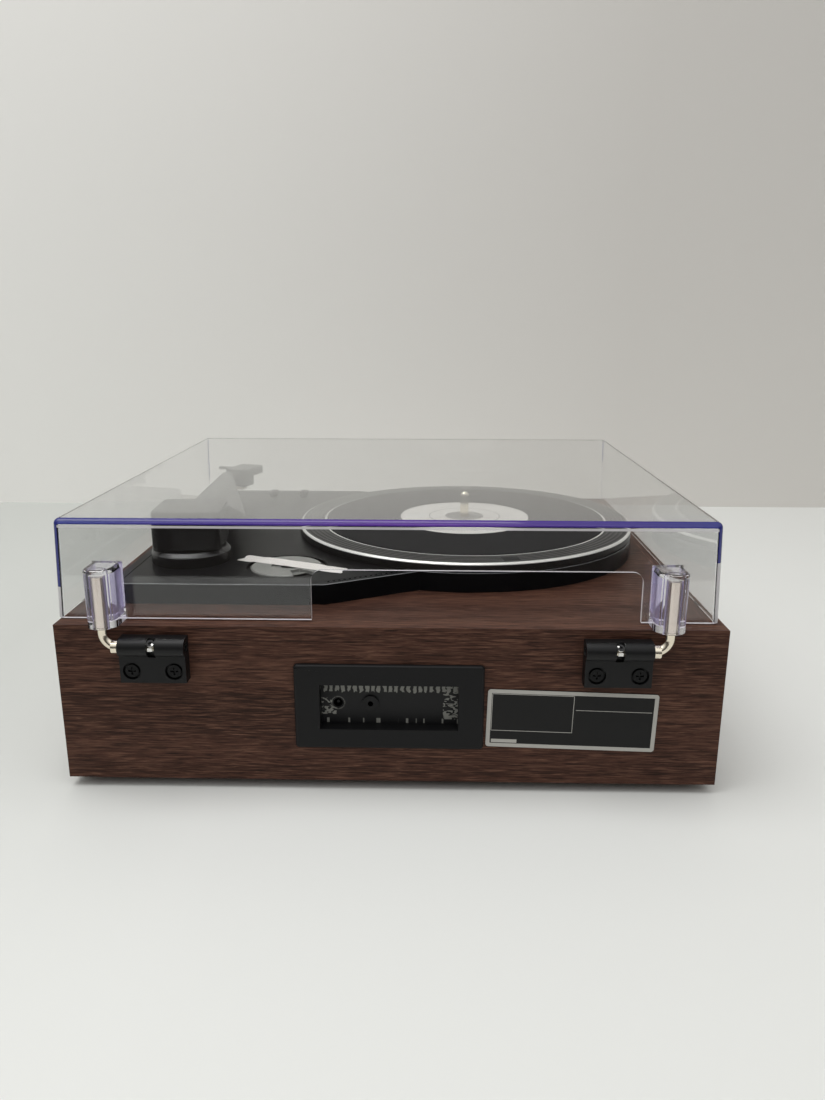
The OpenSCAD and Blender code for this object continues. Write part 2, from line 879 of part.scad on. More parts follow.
// A rod bent from the hinge's barrel up into the lid's socket
module hinge_rod(side) {
    outer_end = hinge_w / 2;
    bend_x = socket_x - hinge_x - rod_bend;
    color(nickel)
        hinge_frame(side) mirror([side > 0 ? 0 : 1, 0, 0]) {
            translate([-outer_end + 2, 0, 0]) rotate([0, 90, 0])
                cylinder(d = rod_d, h = bend_x + outer_end - 2);
            translate([outer_end + 0.3, 0, 0]) rotate([0, 90, 0]) cylinder(d = collar_d, h = collar_len);
            translate([bend_x, 0, rod_bend]) rotate([90, 0, 0]) rotate([0, 0, -90])
                rotate_extrude(angle = 90) translate([rod_bend, 0]) circle(d = rod_d);
            translate([bend_x + rod_bend, 0, rod_bend])
                cylinder(d = rod_d, h = hinge_drop + socket_z + pocket_h - rod_bend - 1);
            translate([bend_x + rod_bend, 0, hinge_drop + socket_z + 1])
                cylinder(d = rod_head_d, h = pocket_h - 2);
        }
}

module hinge_rod_left() {
    hinge_rod(-1);
}

module hinge_rod_right() {
    hinge_rod(1);
}

// The lid's outside or inside: walls that lean in, rounded edges, grown inwards by inset
module lid_form(inset, r, bottom, top) {
    lean = lid_draft * (top - r - lid_gap) / (lid_top - lid_gap);
    hull()
        for (sx = [-1, 1], rear = [0, 1]) {
            x = lid_w / 2 - inset - r;
            y = rear == 1 ? lid_back - inset - r : lid_front + inset + r;
            towards = rear == 1 ? -1 : 1;
            translate([sx * x, y, deck_z + bottom]) cylinder(r = r, h = 0.01, $fn = 32);
            translate([sx * (x - lean), y + towards * lean, deck_z + top - r]) sphere(r = r, $fn = 32);
        }
}

// A socket's outline: flat against the lid at start, round towards the rear, drawn smaller by inset
module socket_outline(inset, start) {
    socket_r = socket_w / 2;
    translate([0, socket_back - socket_r]) circle(socket_r - inset);
    translate([-socket_r + inset, start]) square([socket_w - 2 * inset, socket_back - socket_r - start]);
}

// The hollow of a socket, round the tube that holds the rod
module socket_hollow() {
    difference() {
        translate([0, 0, socket_floor]) linear_extrude(socket_h - socket_floor - socket_cap)
            socket_outline(socket_wall, lid_back + socket_wall / 4);
        translate([0, y_rear + hinge_out, 0])
            cylinder(d = rod_head_d + 2 * pocket_gap + 2 * socket_tube_t, h = socket_h);
    }
}

module dust_cover() {
    color(clear, 0.4)
        translate([lid_shift, 0, 0]) difference() {
            union() {
                difference() {
                    lid_form(0, lid_edge_r, lid_gap, lid_top);
                    lid_form(lid_t, lid_inner_r, lid_gap - over, lid_top - lid_t);
                    translate([cutout_x, lid_back + over, deck_z + lid_gap - over])
                        rotate([90, 0, 0]) linear_extrude(lid_t + lid_draft + 2 * over)
                            cutout_outline(cutout_h + over);
                }
                for (side = [-1, 1])
                    translate([side * socket_x, 0, deck_z + socket_z])
                        linear_extrude(socket_h) socket_outline(0, lid_back - lid_draft - lid_t / 2);
            }
            for (side = [-1, 1]) {
                translate([side * socket_x, 0, deck_z + socket_z]) socket_hollow();
                translate([side * socket_x, y_rear + hinge_out, deck_z + socket_z - over])
                    cylinder(d = rod_head_d + 2 * pocket_gap, h = pocket_h + over);
            }
        }
}

// The cut-out's outline: round upper corners and an open bottom
module cutout_outline(h) {
    translate([-cutout_w / 2, 0]) square([cutout_w, h - cutout_r]);
    translate([-cutout_w / 2 + cutout_r, 0]) square([cutout_w - 2 * cutout_r, h]);
    for (side = [-1, 1])
        translate([side * (cutout_w / 2 - cutout_r), h - cutout_r]) circle(cutout_r);
}

module lid_bumpers() {
    thick = lid_t - 0.6;
    color(clear)
        for (side = [-1, 1], y = [lid_back - 4 * bumper_len, lid_front + 2 * bumper_len])
            translate([lid_shift + side * (lid_w / 2 - lid_t / 2) - thick / 2, y, deck_z])
                cube([thick, bumper_len, lid_gap]);
}

// The deck plate's outline, with x across and y to the rear from the plinth's rear face
module plate_outline(inset = 0) {
    right = plate_right - inset;
    back = -plate_rear_gap - inset;
    front = -plate_front_in + inset;
    corner = plate_r - inset / 2;
    edge_x = plate_right - plate_edge;
    reach = 1.5;
    translate([-platter_x, -platter_in]) circle(platter_r - inset);
    polygon([[right - corner, back], [edge_x, back], [edge_x - reach * slant_run, back - reach * slant_fall],
        [-platter_x, -platter_in], [edge_x - reach * slant_run, front + reach * slant_fall], [edge_x, front],
        [right - corner, front]]);
    translate([right - 2 * corner, front + corner]) square([2 * corner, back - front - 2 * corner]);
    for (y = [back - corner, front + corner])
        translate([right - corner, y]) circle(corner);
}

// The motor's frame: on its axis, at deck height
module motor_frame() {
    on_deck(-platter_x + motor_off * cos(motor_angle), platter_in - motor_off * sin(motor_angle)) children();
}

// Places of the three motor screws
module motor_ring() {
    motor_frame()
        for (turn = [90, 210, 330])
            translate([motor_screw_r * cos(turn), motor_screw_r * sin(turn), 0]) children();
}

module deck_plate() {
    adapter_x = plate_right - adapter_from_edge;
    adapter_in = plate_rear_gap + adapter_from_rear;
    pad_r = adapter_d / 2 + adapter_clear + plate_t;
    peg_r = spindle_d / 2 - 0.2;
    slot_w = switch_stem[0] + 2 * soft_gap;
    slot_l = switch_stem[1] + switch_travel + 2 * soft_gap;
    color(black)
        difference() {
            translate([0, y_rear, deck_z]) linear_extrude(plate_h) plate_outline();
            // Hollow underside of the right-hand part
            difference() {
                translate([0, y_rear, deck_z - over]) linear_extrude(skin_z + over) plate_outline(plate_t);
                on_deck(-platter_x, platter_in, -2 * over) cylinder(r = platter_r, h = plate_h + 3 * over);
                on_deck(adapter_x, adapter_in, -2 * over) cylinder(r = pad_r, h = plate_h + 3 * over);
                for (place = plate_bosses())
                    on_deck(place[0], place[1], -2 * over) cylinder(d = boss_d, h = plate_h + 3 * over);
            }
            on_deck(-platter_x, platter_in, plate_t) cylinder(r = well_r, h = plate_h);
            on_deck(-platter_x, platter_in, -over) cylinder(d = bush_d + 2 * fit_gap, h = plate_h);
            motor_frame() translate([0, 0, -over]) cylinder(d = motor_shaft_d + 7, h = plate_h);
            motor_ring() translate([0, 0, -over]) cylinder(d = screw_d + 2 * fit_gap, h = plate_h);
            on_deck(pivot_x, pivot_in, -over) cylinder(d = post_d + 4, h = plate_h + 2 * over);
            on_deck(adapter_x, adapter_in, plate_h - recess_depth)
                difference() {
                    union() {
                        cylinder(d = adapter_boss_d + 1, h = plate_h);
                        translate([0, 0, adapter_h - adapter_flange_t - soft_gap])
                            cylinder(r = adapter_d / 2 + adapter_clear, h = plate_h);
                    }
                    translate([0, 0, -over]) cylinder(r = peg_r, h = adapter_h - 3 + over);
                }
            cue_stem_place() translate([0, 0, -over])
                cylinder(d = cue_stem_d + 2 * fit_gap, h = plate_h + 2 * over);
            for (x = [speed_x, stop_x])
                on_deck(x, switch_in, plate_h / 2)
                    cube([slot_w, slot_l, plate_h], center = true);
            for (place = plate_bosses())
                on_deck(place[0], place[1], -over) cylinder(d = screw_d + 2 * fit_gap, h = skin_z + over);
        }
}

module plate_screws() {
    color(steel)
        for (place = plate_bosses())
            on_deck(place[0], place[1], -board_t)
                mirror([0, 0, 1]) screw(screw_d, board_t + skin_z - 3, screw_head_d, screw_head_h, true);
}

module spindle_bush() {
    color(brass)
        on_deck(-platter_x, platter_in)
            difference() {
                union() {
                    translate([0, 0, plate_t]) cylinder(d = bush_flange_d, h = bush_flange_t);
                    translate([0, 0, plate_t - bush_len])
                        cylinder(d = bush_d, h = bush_len + bush_flange_t / 2);
                }
                translate([0, 0, plate_t - bush_len + bush_end])
                    cylinder(d = axle_d + 2 * run_gap, h = bush_len + bush_flange_t);
            }
}

module motor() {
    color(steel)
        difference() {
            motor_frame() {
                translate([0, 0, -motor_flange_t]) cylinder(d = motor_d + 2 * motor_rim, h = motor_flange_t);
                translate([0, 0, -motor_len]) cylinder(d = motor_d, h = motor_len - motor_flange_t / 2);
            }
            motor_frame() translate([0, 0, -motor_len + 4])
                cylinder(d = motor_shaft_d + 2 * run_gap, h = motor_len);
            motor_ring() translate([0, 0, -7]) cylinder(d = screw_d + 2 * fit_gap, h = 8);
        }
}

module motor_screws() {
    color(steel)
        motor_ring() translate([0, 0, plate_t]) screw(screw_d, plate_t + 6, screw_head_d - 1, 2);
}

module motor_pulley() {
    flange = 0.8;
    color(brass)
        motor_frame() {
            translate([0, 0, -motor_len + 5])
                cylinder(d = motor_shaft_d, h = motor_len - 5 + pulley_z + pulley_h);
            translate([0, 0, pulley_z]) cylinder(d = pulley_d, h = pulley_h);
            for (z = [pulley_z, pulley_z + pulley_h - flange])
                translate([0, 0, z]) cylinder(d = pulley_d + 3, h = flange);
        }
}

// The belt's loop round the ring and the pulley, grown by grow
module belt_loop(grow) {
    hull() {
        circle(ring_r + soft_gap + grow);
        translate([motor_off, 0]) circle(pulley_d / 2 + soft_gap + grow);
    }
}

module drive_belt() {
    color(black)
        on_deck(-platter_x, platter_in, belt_z)
            rotate([0, 0, motor_angle]) linear_extrude(belt_w)
                difference() {
                    belt_loop(belt_t);
                    belt_loop(0);
                }
}

module platter() {
    chamfer = 1.2;
    skirt = 6;
    color(black)
        on_deck(-platter_x, platter_in)
            rotate_extrude()
                polygon([[axle_d / 2 + run_gap / 2, hub_z], [hub_r, hub_z], [hub_r, disc_z],
                    [ring_r - ring_wall, disc_z], [ring_r - ring_wall, ring_foot], [ring_r, ring_foot],
                    [ring_r, disc_z], [platter_r - skirt, disc_z], [platter_r - skirt, platter_z],
                    [platter_r, platter_z], [platter_r, platter_top - chamfer],
                    [platter_r - chamfer, platter_top], [mat_r + soft_gap, platter_top],
                    [mat_r + soft_gap, mat_seat], [axle_d / 2 + run_gap / 2, mat_seat]]);
}

module slipmat() {
    color(black)
        on_deck(-platter_x, platter_in, mat_seat)
            difference() {
                cylinder(r = mat_r, h = mat_t);
                translate([0, 0, -over]) cylinder(d = axle_d + 2 * soft_gap, h = mat_t + 2 * over);
            }
}

module spindle() {
    tail = plate_t - bush_len + bush_end + soft_gap;
    color(nickel)
        on_deck(-platter_x, platter_in) {
            translate([0, 0, tail]) cylinder(d = axle_d, h = mat_top - tail);
            translate([0, 0, mat_top - over]) cylinder(d = spindle_d, h = spindle_up - spindle_d / 2 + over);
            translate([0, 0, mat_top + spindle_up - spindle_d / 2]) sphere(d = spindle_d);
        }
}

module adapter() {
    rim = 0.8;
    dish_r = 11;
    boss_h = adapter_h - adapter_flange_t;
    color(steel)
        on_deck(plate_right - adapter_from_edge, plate_rear_gap + adapter_from_rear, plate_h - recess_depth)
            difference() {
                rotate_extrude()
                    polygon([[spindle_d / 2 + fit_gap, 0], [adapter_boss_d / 2, 0],
                        [adapter_boss_d / 2, boss_h], [adapter_d / 2, boss_h],
                        [adapter_d / 2, adapter_h - rim], [adapter_d / 2 - rim, adapter_h],
                        [dish_r, adapter_h], [dish_r, adapter_h - 1],
                        [spindle_d / 2 + fit_gap, adapter_h - 1]]);
                // Finger notch
                rotate([0, 0, 127]) translate([0, 0, boss_h]) linear_extrude(adapter_h)
                    polygon([[dish_r + 2, -4], [adapter_d, -16], [adapter_d, 16], [dish_r + 2, 4]]);
            }
}

module arm_base() {
    edge = 3;
    color(black)
        on_deck(pivot_x, pivot_in, plate_h)
            rotate_extrude()
                polygon([[post_d / 2 + run_gap, 0], [arm_base_d / 2, 0], [arm_base_d / 2, arm_base_h - edge],
                    [arm_base_d / 2 - edge, arm_base_h], [post_d / 2 + run_gap, arm_base_h]]);
}

// A rectangle that fills the arm's cover, from its back to its front, drawn smaller by inset
module cover_outline(inset) {
    translate([0, cover_back - cover_len / 2])
        rounded_rect(cover_w - 2 * inset, cover_len - 2 * inset, cover_r - inset);
}

module arm_yoke() {
    cheek_len = 18;
    cheek_mid = cheek_in + cheek_t / 2;
    color(steel)
        arm_frame()
            difference() {
                union() {
                    translate([0, 0, 3]) cylinder(d = post_d, h = cover_z - 2);
                    translate([0, 0, cover_z]) linear_extrude(yoke_t) cover_outline(cover_t + fit_gap);
                    for (side = [-1, 1])
                        translate([side * cheek_mid - cheek_t / 2, -cheek_len / 2, cover_z + 1])
                            cube([cheek_t, cheek_len, pin_z - cover_z + 6]);
                }
                translate([-cover_w, 0, pin_z]) rotate([0, 90, 0])
                    cylinder(d = pin_d + 2 * run_gap, h = 2 * cover_w);
            }
}

module arm_cover() {
    opening_w = beam_w + 4;
    opening_h = cover_h - 4;
    color(black)
        arm_frame()
            difference() {
                translate([0, 0, cover_z]) linear_extrude(cover_h) cover_outline(0);
                translate([0, 0, cover_z - over]) linear_extrude(cover_h - cover_t + over)
                    cover_outline(cover_t);
                translate([-opening_w / 2, cover_back - cover_len - over, cover_z - over])
                    cube([opening_w, cover_t + 2 * over, opening_h + over]);
            }
}

module arm_beam() {
    tail = 17;
    tail_d = 9;
    hub_d = 11;
    color(black) {
        arm_frame() {
            hull() {
                for (sx = [-1, 1], z = [beam_z + 2, beam_z + beam_h - 2])
                    translate([sx * (beam_w / 2 - 2), -beam_start, z])
                        rotate([90, 0, 0]) cylinder(r = 2, h = 1, $fn = 32);
                translate([0, -beam_len, beam_z]) cylinder(d = beam_tip_w, h = beam_tip_h, $fn = 32);
            }
            // Flared hood: a flat strip on top, one side sloping out towards the platter
            hull() {
                translate([0, -hood_start, 0]) rotate([90, 0, 0]) linear_extrude(0.5)
                    polygon([[-hood_in + 4, beam_z], [hood_out - 2, beam_z], [hood_out, beam_z + 3],
                        [hood_strip_out, hood_top], [hood_strip_out - hood_strip, hood_top],
                        [-hood_in, beam_z + 5]]);
                translate([0, -hood_end, 0]) rotate([90, 0, 0]) linear_extrude(0.5)
                    polygon([[-12, beam_z], [3, beam_z], [-4, beam_z + beam_tip_h + 2],
                        [-11, beam_z + beam_tip_h + 2], [-13, beam_z + 4]]);
            }
            translate([-beam_w / 2 - 1.2, 0, pin_z]) rotate([0, 90, 0]) cylinder(d = hub_d, h = beam_w + 2.4);
            translate([-cheek_in - cheek_t, 0, pin_z]) rotate([0, 90, 0])
                cylinder(d = pin_d, h = 2 * (cheek_in + cheek_t));
            translate([0, tail, pin_z]) rotate([90, 0, 0]) cylinder(d = tail_d, h = tail + beam_start + 1);
        }
        head_frame() translate([0, 0, beam_z + beam_tip_h / 2]) rotate([90, 0, 0])
            cylinder(d = stub_d, h = head_start + head_collar_len - 1);
    }
}

module counterweight() {
    weight_d = cover_h - 10.5;
    weight_len = 9;
    color(steel)
        arm_frame()
            translate([0, 16.5, pin_z]) rotate([90, 0, 0])
                difference() {
                    cylinder(d = weight_d, h = weight_len);
                    translate([0, 0, -over]) cylinder(d = 9 + run_gap, h = weight_len + 2 * over);
                }
}

module headshell() {
    lift_reach = 13;
    lift_w = 5;
    lift_t = 2;
    slab_at = head_start + head_collar_len - 2;
    slab_len = head_len - head_collar_len + 2;
    color(black)
        head_frame()
            difference() {
                union() {
                    translate([0, -head_start, beam_z + beam_tip_h / 2]) rotate([90, 0, 0])
                        cylinder(d = head_collar_d, h = head_collar_len);
                    translate([0, -slab_at - slab_len / 2, head_z]) linear_extrude(head_h)
                        rounded_rect(head_w, slab_len, head_r);
                    translate([head_w / 2 - 1, -tip_at, head_z + head_h - lift_t])
                        cube([lift_reach + 1, lift_w, lift_t]);
                }
                translate([0, -head_start + over, beam_z + beam_tip_h / 2]) rotate([90, 0, 0])
                    cylinder(d = stub_d + run_gap, h = head_collar_len - 1 + over + soft_gap);
            }
}

module cartridge() {
    color(black)
        head_frame()
            translate([-cart_w / 2, -cart_at - cart_len, head_z - cart_h])
                cube([cart_w, cart_len, cart_h]);
}

module stylus() {
    holder = [7, 9, 3];
    holder_z = head_z - cart_h - holder[2];
    tip_r = 0.4;
    color("#d8d4c8")
        head_frame() {
            translate([-holder[0] / 2, -tip_at + 2, holder_z]) cube(holder);
            translate([0, -tip_at, holder_z + 1]) rotate([-90, 0, 0]) cylinder(d = 1.2, h = 4);
            translate([0, -tip_at + 0.6, tip_z]) cylinder(r1 = 0.15, r2 = tip_r, h = holder_z + 1 - tip_z);
        }
}

module arm_rest() {
    post_w = 9;
    lip_x = beam_tip_w / 2 + (beam_w - beam_tip_w) / 2 * (beam_len - rest_at) / (beam_len - beam_start) + 0.7;
    shelf_z = beam_z - lift_gap - rest_t;
    color(black)
        arm_frame()
            translate([0, -rest_at, 0]) {
                translate([0, 0, plate_h]) cylinder(d = post_w, h = shelf_z - plate_h + 1);
                translate([-rest_w / 2, -rest_len / 2, shelf_z])
                    cube([rest_w / 2 + lip_x + 2.5, rest_len, rest_t]);
                translate([lip_x, -rest_len / 2, shelf_z]) cube([2.5, rest_len, rest_t + rest_lip_h]);
            }
}

module cue_stem_place() {
    on_deck(pivot_x + cue_r * cos(cue_stem_angle), pivot_in - cue_r * sin(cue_stem_angle)) children();
}

module cue_lift() {
    bar_z = beam_z - lift_gap - cue_bar_t;
    arc_start = -90 + arm_rest_angle + 6 - cue_arc;
    color(black) {
        on_deck(pivot_x, pivot_in, bar_z) rotate([0, 0, arc_start])
            rotate_extrude(angle = cue_arc)
                translate([cue_r - cue_bar_w / 2, 0]) square([cue_bar_w, cue_bar_t]);
        cue_stem_place() translate([0, 0, cue_travel + 1])
            cylinder(d = cue_stem_d, h = bar_z - cue_travel - 1 + cue_bar_t / 2);
    }
}

module cue_lever() {
    rod = 4.4;
    color(black)
        on_deck(lever_x, lever_in, ear_z) {
            translate([-lever_hub_w / 2, 0, 0]) rotate([0, 90, 0])
                cylinder(d = lever_hub_d - 1, h = lever_hub_w);
            translate([-lever_hub_w / 2 - ear_t, 0, 0]) rotate([0, 90, 0])
                cylinder(d = lever_pin_d, h = lever_hub_w + 2 * ear_t);
            rotate([90 - lever_rise, 0, 0]) {
                cylinder(d = rod, h = lever_len);
                translate([0, 0, lever_len]) sphere(d = rod + 1.6);
            }
        }
}

// Two ears that carry the cue lever's pin
module lever_bracket() {
    color(black)
        for (side = [-1, 1])
            on_deck(lever_x + side * (lever_hub_w / 2 + soft_gap + ear_t / 2), lever_in)
                difference() {
                    union() {
                        translate([-ear_t / 2, -lever_hub_d / 2, plate_h])
                            cube([ear_t, lever_hub_d, ear_z - plate_h]);
                        translate([-ear_t / 2, 0, ear_z]) rotate([0, 90, 0])
                            cylinder(d = lever_hub_d, h = ear_t);
                    }
                    translate([-ear_t, 0, ear_z]) rotate([0, 90, 0])
                        cylinder(d = lever_pin_d + 2 * run_gap, h = 2 * ear_t);
                }
}

module deck_switch(x) {
    color(black)
        on_deck(x, switch_in) {
            translate([-switch_knob[0] / 2, -switch_knob[1] / 2 - switch_travel / 2, plate_h + soft_gap])
                cube(switch_knob);
            translate([-switch_stem[0] / 2, -switch_stem[1] / 2 - switch_travel / 2, skin_z - 4])
                cube([switch_stem[0], switch_stem[1], plate_t + soft_gap + 5]);
        }
}

module speed_switch() {
    deck_switch(speed_x);
}

module stop_switch() {
    deck_switch(stop_x);
}

module switch_housings() {
    slot_l = switch_stem[1] + switch_travel + 2 * soft_gap;
    color(steel)
        for (x = [speed_x, stop_x])
            on_deck(x, switch_in, skin_z - switch_body[2])
                difference() {
                    translate([-switch_body[0] / 2, -switch_body[1] / 2, 0]) cube(switch_body);
                    translate([-switch_stem[0] / 2 - soft_gap, -slot_l / 2, switch_body[2] - 5])
                        cube([switch_stem[0] + 2 * soft_gap, slot_l, 5 + over]);
                }
}

top_board();
rear_panel();
left_side();
right_side();
front_baffle();
bottom_board();
feet();
foot_screws();
grille_left();
grille_right();
speaker_baskets();
speaker_cones();
speaker_screws();
control_plate();
volume_knob();
function_knob();
control_pots();
power_lamp();
main_board();
board_standoffs();
jack_bezel();
jack_plate();
dc_jack();
audio_jack();
rating_plate();
hinge_left();
hinge_right();
hinge_screws();
friction_screws();
hinge_rod_left();
hinge_rod_right();
dust_cover();
lid_bumpers();
deck_plate();
plate_screws();
spindle_bush();
motor();
motor_screws();
motor_pulley();
drive_belt();
platter();
slipmat();
spindle();
adapter();
arm_base();
arm_yoke();
arm_cover();
arm_beam();
counterweight();
headshell();
cartridge();
stylus();
arm_rest();
cue_lift();
cue_lever();
lever_bracket();
speed_switch();
stop_switch();
switch_housings();
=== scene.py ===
import math

import bmesh
import bpy
from mathutils import Matrix, Vector


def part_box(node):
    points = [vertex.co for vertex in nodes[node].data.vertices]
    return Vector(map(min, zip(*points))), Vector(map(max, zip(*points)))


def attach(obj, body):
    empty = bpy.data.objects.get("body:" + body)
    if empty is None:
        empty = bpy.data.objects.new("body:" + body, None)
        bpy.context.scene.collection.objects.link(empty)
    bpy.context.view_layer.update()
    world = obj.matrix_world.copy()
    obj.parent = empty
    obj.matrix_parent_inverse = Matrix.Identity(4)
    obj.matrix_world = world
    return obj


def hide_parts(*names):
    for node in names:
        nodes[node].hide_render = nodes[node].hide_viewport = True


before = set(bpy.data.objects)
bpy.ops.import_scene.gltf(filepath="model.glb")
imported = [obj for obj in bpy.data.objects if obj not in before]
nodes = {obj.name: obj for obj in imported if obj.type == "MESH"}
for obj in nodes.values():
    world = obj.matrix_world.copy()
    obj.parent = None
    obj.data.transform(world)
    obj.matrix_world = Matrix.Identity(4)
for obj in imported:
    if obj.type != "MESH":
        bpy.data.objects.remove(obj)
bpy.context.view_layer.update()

scene = bpy.context.scene
scene.view_settings.view_transform = "Standard"
print("frame loaded,", len(nodes), "nodes")


# helpers that select, edit and finish pieces
clean = {"weld": 0.00001, "flat": 0.4, "near": 0.00005, "evenWeight": 90}


def deselectAll():
    if bpy.context.mode != "OBJECT":
        bpy.ops.object.mode_set(mode="OBJECT")
    bpy.ops.object.select_all(action="DESELECT")


def pick(piece):
    deselectAll()
    piece.select_set(True)
    bpy.context.view_layer.objects.active = piece


def applyPlace(piece):
    pick(piece)
    bpy.ops.object.transform_apply(location=True, rotation=True, scale=True)


def applyModifiers(piece):
    pick(piece)
    for modifier in list(piece.modifiers):
        bpy.ops.object.modifier_apply(modifier=modifier.name)


def editAll(piece):
    pick(piece)
    bpy.ops.object.mode_set(mode="EDIT")
    bpy.ops.mesh.select_all(action="SELECT")


def editDone():
    bpy.ops.object.mode_set(mode="OBJECT")


def selectFaces(piece, test):
    pick(piece)
    bpy.ops.object.mode_set(mode="EDIT")
    bpy.ops.mesh.select_mode(type="FACE")
    bpy.ops.mesh.select_all(action="DESELECT")
    mesh = bmesh.from_edit_mesh(piece.data)
    for face in mesh.faces:
        face.select_set(bool(test(face.calc_center_median(), face.normal)))
    bmesh.update_edit_mesh(piece.data)


def selectEdges(piece, test, sharp):
    pick(piece)
    bpy.ops.object.mode_set(mode="EDIT")
    bpy.ops.mesh.select_mode(type="EDGE")
    bpy.ops.mesh.select_all(action="DESELECT")
    mesh = bmesh.from_edit_mesh(piece.data)
    for edge in mesh.edges:
        if len(edge.link_faces) != 2 or edge.calc_face_angle() < math.radians(sharp):
            continue
        edge.select_set(bool(test(edge.verts[0].co, edge.verts[1].co)))
    bmesh.update_edit_mesh(piece.data)


def bothAt(first, second, axis, value):
    return all(abs(end[axis] - value) < clean["near"] for end in (first, second))


def inFrom(place, box, margin, across):
    low, high = box
    return all(low[axis] + margin < place[axis] < high[axis] - margin for axis in across)


def awayFrom(place, spot):
    return math.hypot(place.x - spot[0], place.y - spot[1])


def smooth(piece, degrees):
    pick(piece)
    bpy.ops.object.shade_smooth_by_angle(angle=math.radians(degrees))
    normals = piece.modifiers.new("evenNormals", "WEIGHTED_NORMAL")
    normals.keep_sharp = True
    normals.weight = clean["evenWeight"]
    applyModifiers(piece)


def paint(piece, *materials):
    piece.data.materials.clear()
    for material in materials:
        piece.data.materials.append(material)
    for polygon in piece.data.polygons:
        polygon.material_index = 0


def finishPiece(piece, name, body, slot, *materials):
    applyPlace(piece)
    piece.name = name
    piece.data.name = name
    if materials:
        paint(piece, *materials)
    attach(piece, body)
    return piece


def cadCopy(node, name):
    source = nodes[node]
    piece = source.copy()
    piece.data = source.data.copy()
    piece.parent = None
    piece.matrix_world = Matrix.Identity(4)
    for key in list(piece.keys()):
        del piece[key]
    scene.collection.objects.link(piece)
    piece.name = name
    editAll(piece)
    bpy.ops.mesh.customdata_custom_splitnormals_clear()
    bpy.ops.mesh.remove_doubles(threshold=clean["weld"])
    bpy.ops.mesh.dissolve_limited(angle_limit=math.radians(clean["flat"]))
    editDone()
    return piece


def ease(piece, width, segments=3, angle=35):
    rounded = piece.modifiers.new("ease", "BEVEL")
    rounded.width = width
    rounded.segments = segments
    rounded.limit_method = "ANGLE"
    rounded.angle_limit = math.radians(angle)
    applyModifiers(piece)


def easedNode(node, name, body, slot, material, width):
    piece = cadCopy(node, name)
    ease(piece, width)
    smooth(piece, 50)
    finishPiece(piece, name, body, slot, material)
    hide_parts(node)
    return piece


def addBlock(name, size, place):
    deselectAll()
    bpy.ops.mesh.primitive_cube_add(size=1, location=place)
    piece = bpy.context.object
    piece.name = name
    piece.scale = size
    applyPlace(piece)
    return piece


def joinPieces(pieces, name):
    deselectAll()
    for piece in pieces:
        piece.select_set(True)
    bpy.context.view_layer.objects.active = pieces[0]
    bpy.ops.object.join()
    pieces[0].name = name
    return pieces[0]


# camera, at the photograph's place
view = {"place": (-0.0267, 0.71335, 0.3042), "aside": 0.0227, "pitch": 15.07, "roll": 0.08,
        "lens": 28.09, "sensor": 36, "near": 0.01}


def placeCamera():
    bpy.ops.object.camera_add()
    camera = bpy.context.object
    camera.name = "camera"
    camera.data.lens = view["lens"]
    camera.data.sensor_width = view["sensor"]
    pitch = math.radians(view["pitch"])
    flat = Vector((view["aside"], -math.sqrt(1 - view["aside"] ** 2), 0)) * math.cos(pitch)
    look = flat + Vector((0, 0, -math.sin(pitch)))
    turn = look.to_track_quat("-Z", "Y").to_matrix().to_4x4()
    camera.matrix_world = (Matrix.Translation(view["place"]) @ turn
                           @ Matrix.Rotation(math.radians(view["roll"]), 4, "Z"))
    camera.data.clip_start = view["near"]
    scene.camera = camera
    print("camera placed")


placeCamera()


# shader building blocks
farBelow = -1
farAbove = 1
# a mix node's colour sockets go by number, because their names repeat
mixSockets = {"first": 6, "second": 7, "result": 2}


def newMaterial(name):
    material = bpy.data.materials.new(name)
    material.use_nodes = True
    tree = material.node_tree
    return material, tree, tree.nodes["Principled BSDF"]


def addNode(tree, kind, **values):
    node = tree.nodes.new(kind)
    for key, value in values.items():
        if key in node.inputs:
            node.inputs[key].default_value = value
        else:
            setattr(node, key, value)
    return node


def feed(tree, socket, value):
    if isinstance(value, bpy.types.NodeSocket):
        tree.links.new(value, socket)
    elif isinstance(value, tuple):
        socket.default_value = (*value, 1)
    else:
        socket.default_value = value


def setInputs(tree, node, values):
    for name, value in values.items():
        feed(tree, node.inputs[name], value)


def objectCoords(tree, scale=(1, 1, 1), location=(0, 0, 0)):
    coords = addNode(tree, "ShaderNodeTexCoord")
    mapping = addNode(tree, "ShaderNodeMapping", Scale=scale, Location=location)
    tree.links.new(coords.outputs["Object"], mapping.inputs["Vector"])
    return mapping.outputs["Vector"]


def axes(tree, vector):
    split = addNode(tree, "ShaderNodeSeparateXYZ")
    tree.links.new(vector, split.inputs["Vector"])
    return split.outputs["X"], split.outputs["Y"], split.outputs["Z"]


def ramp(tree, factor, stops):
    node = addNode(tree, "ShaderNodeValToRGB")
    elements = node.color_ramp.elements
    while len(elements) < len(stops):
        elements.new(0.5)
    for element, (place, colour) in zip(elements, stops):
        element.position = place
        element.color = (*colour, 1)
    tree.links.new(factor, node.inputs["Fac"])
    return node.outputs["Color"]


def maths(tree, operation, *values):
    node = addNode(tree, "ShaderNodeMath", operation=operation)
    for socket, value in zip(node.inputs, values):
        feed(tree, socket, value)
    return node.outputs["Value"]


def mixColour(tree, factor, first, second):
    node = addNode(tree, "ShaderNodeMix", data_type="RGBA")
    feed(tree, node.inputs["Factor"], factor)
    feed(tree, node.inputs[mixSockets["first"]], first)
    feed(tree, node.inputs[mixSockets["second"]], second)
    return node.outputs[mixSockets["result"]]


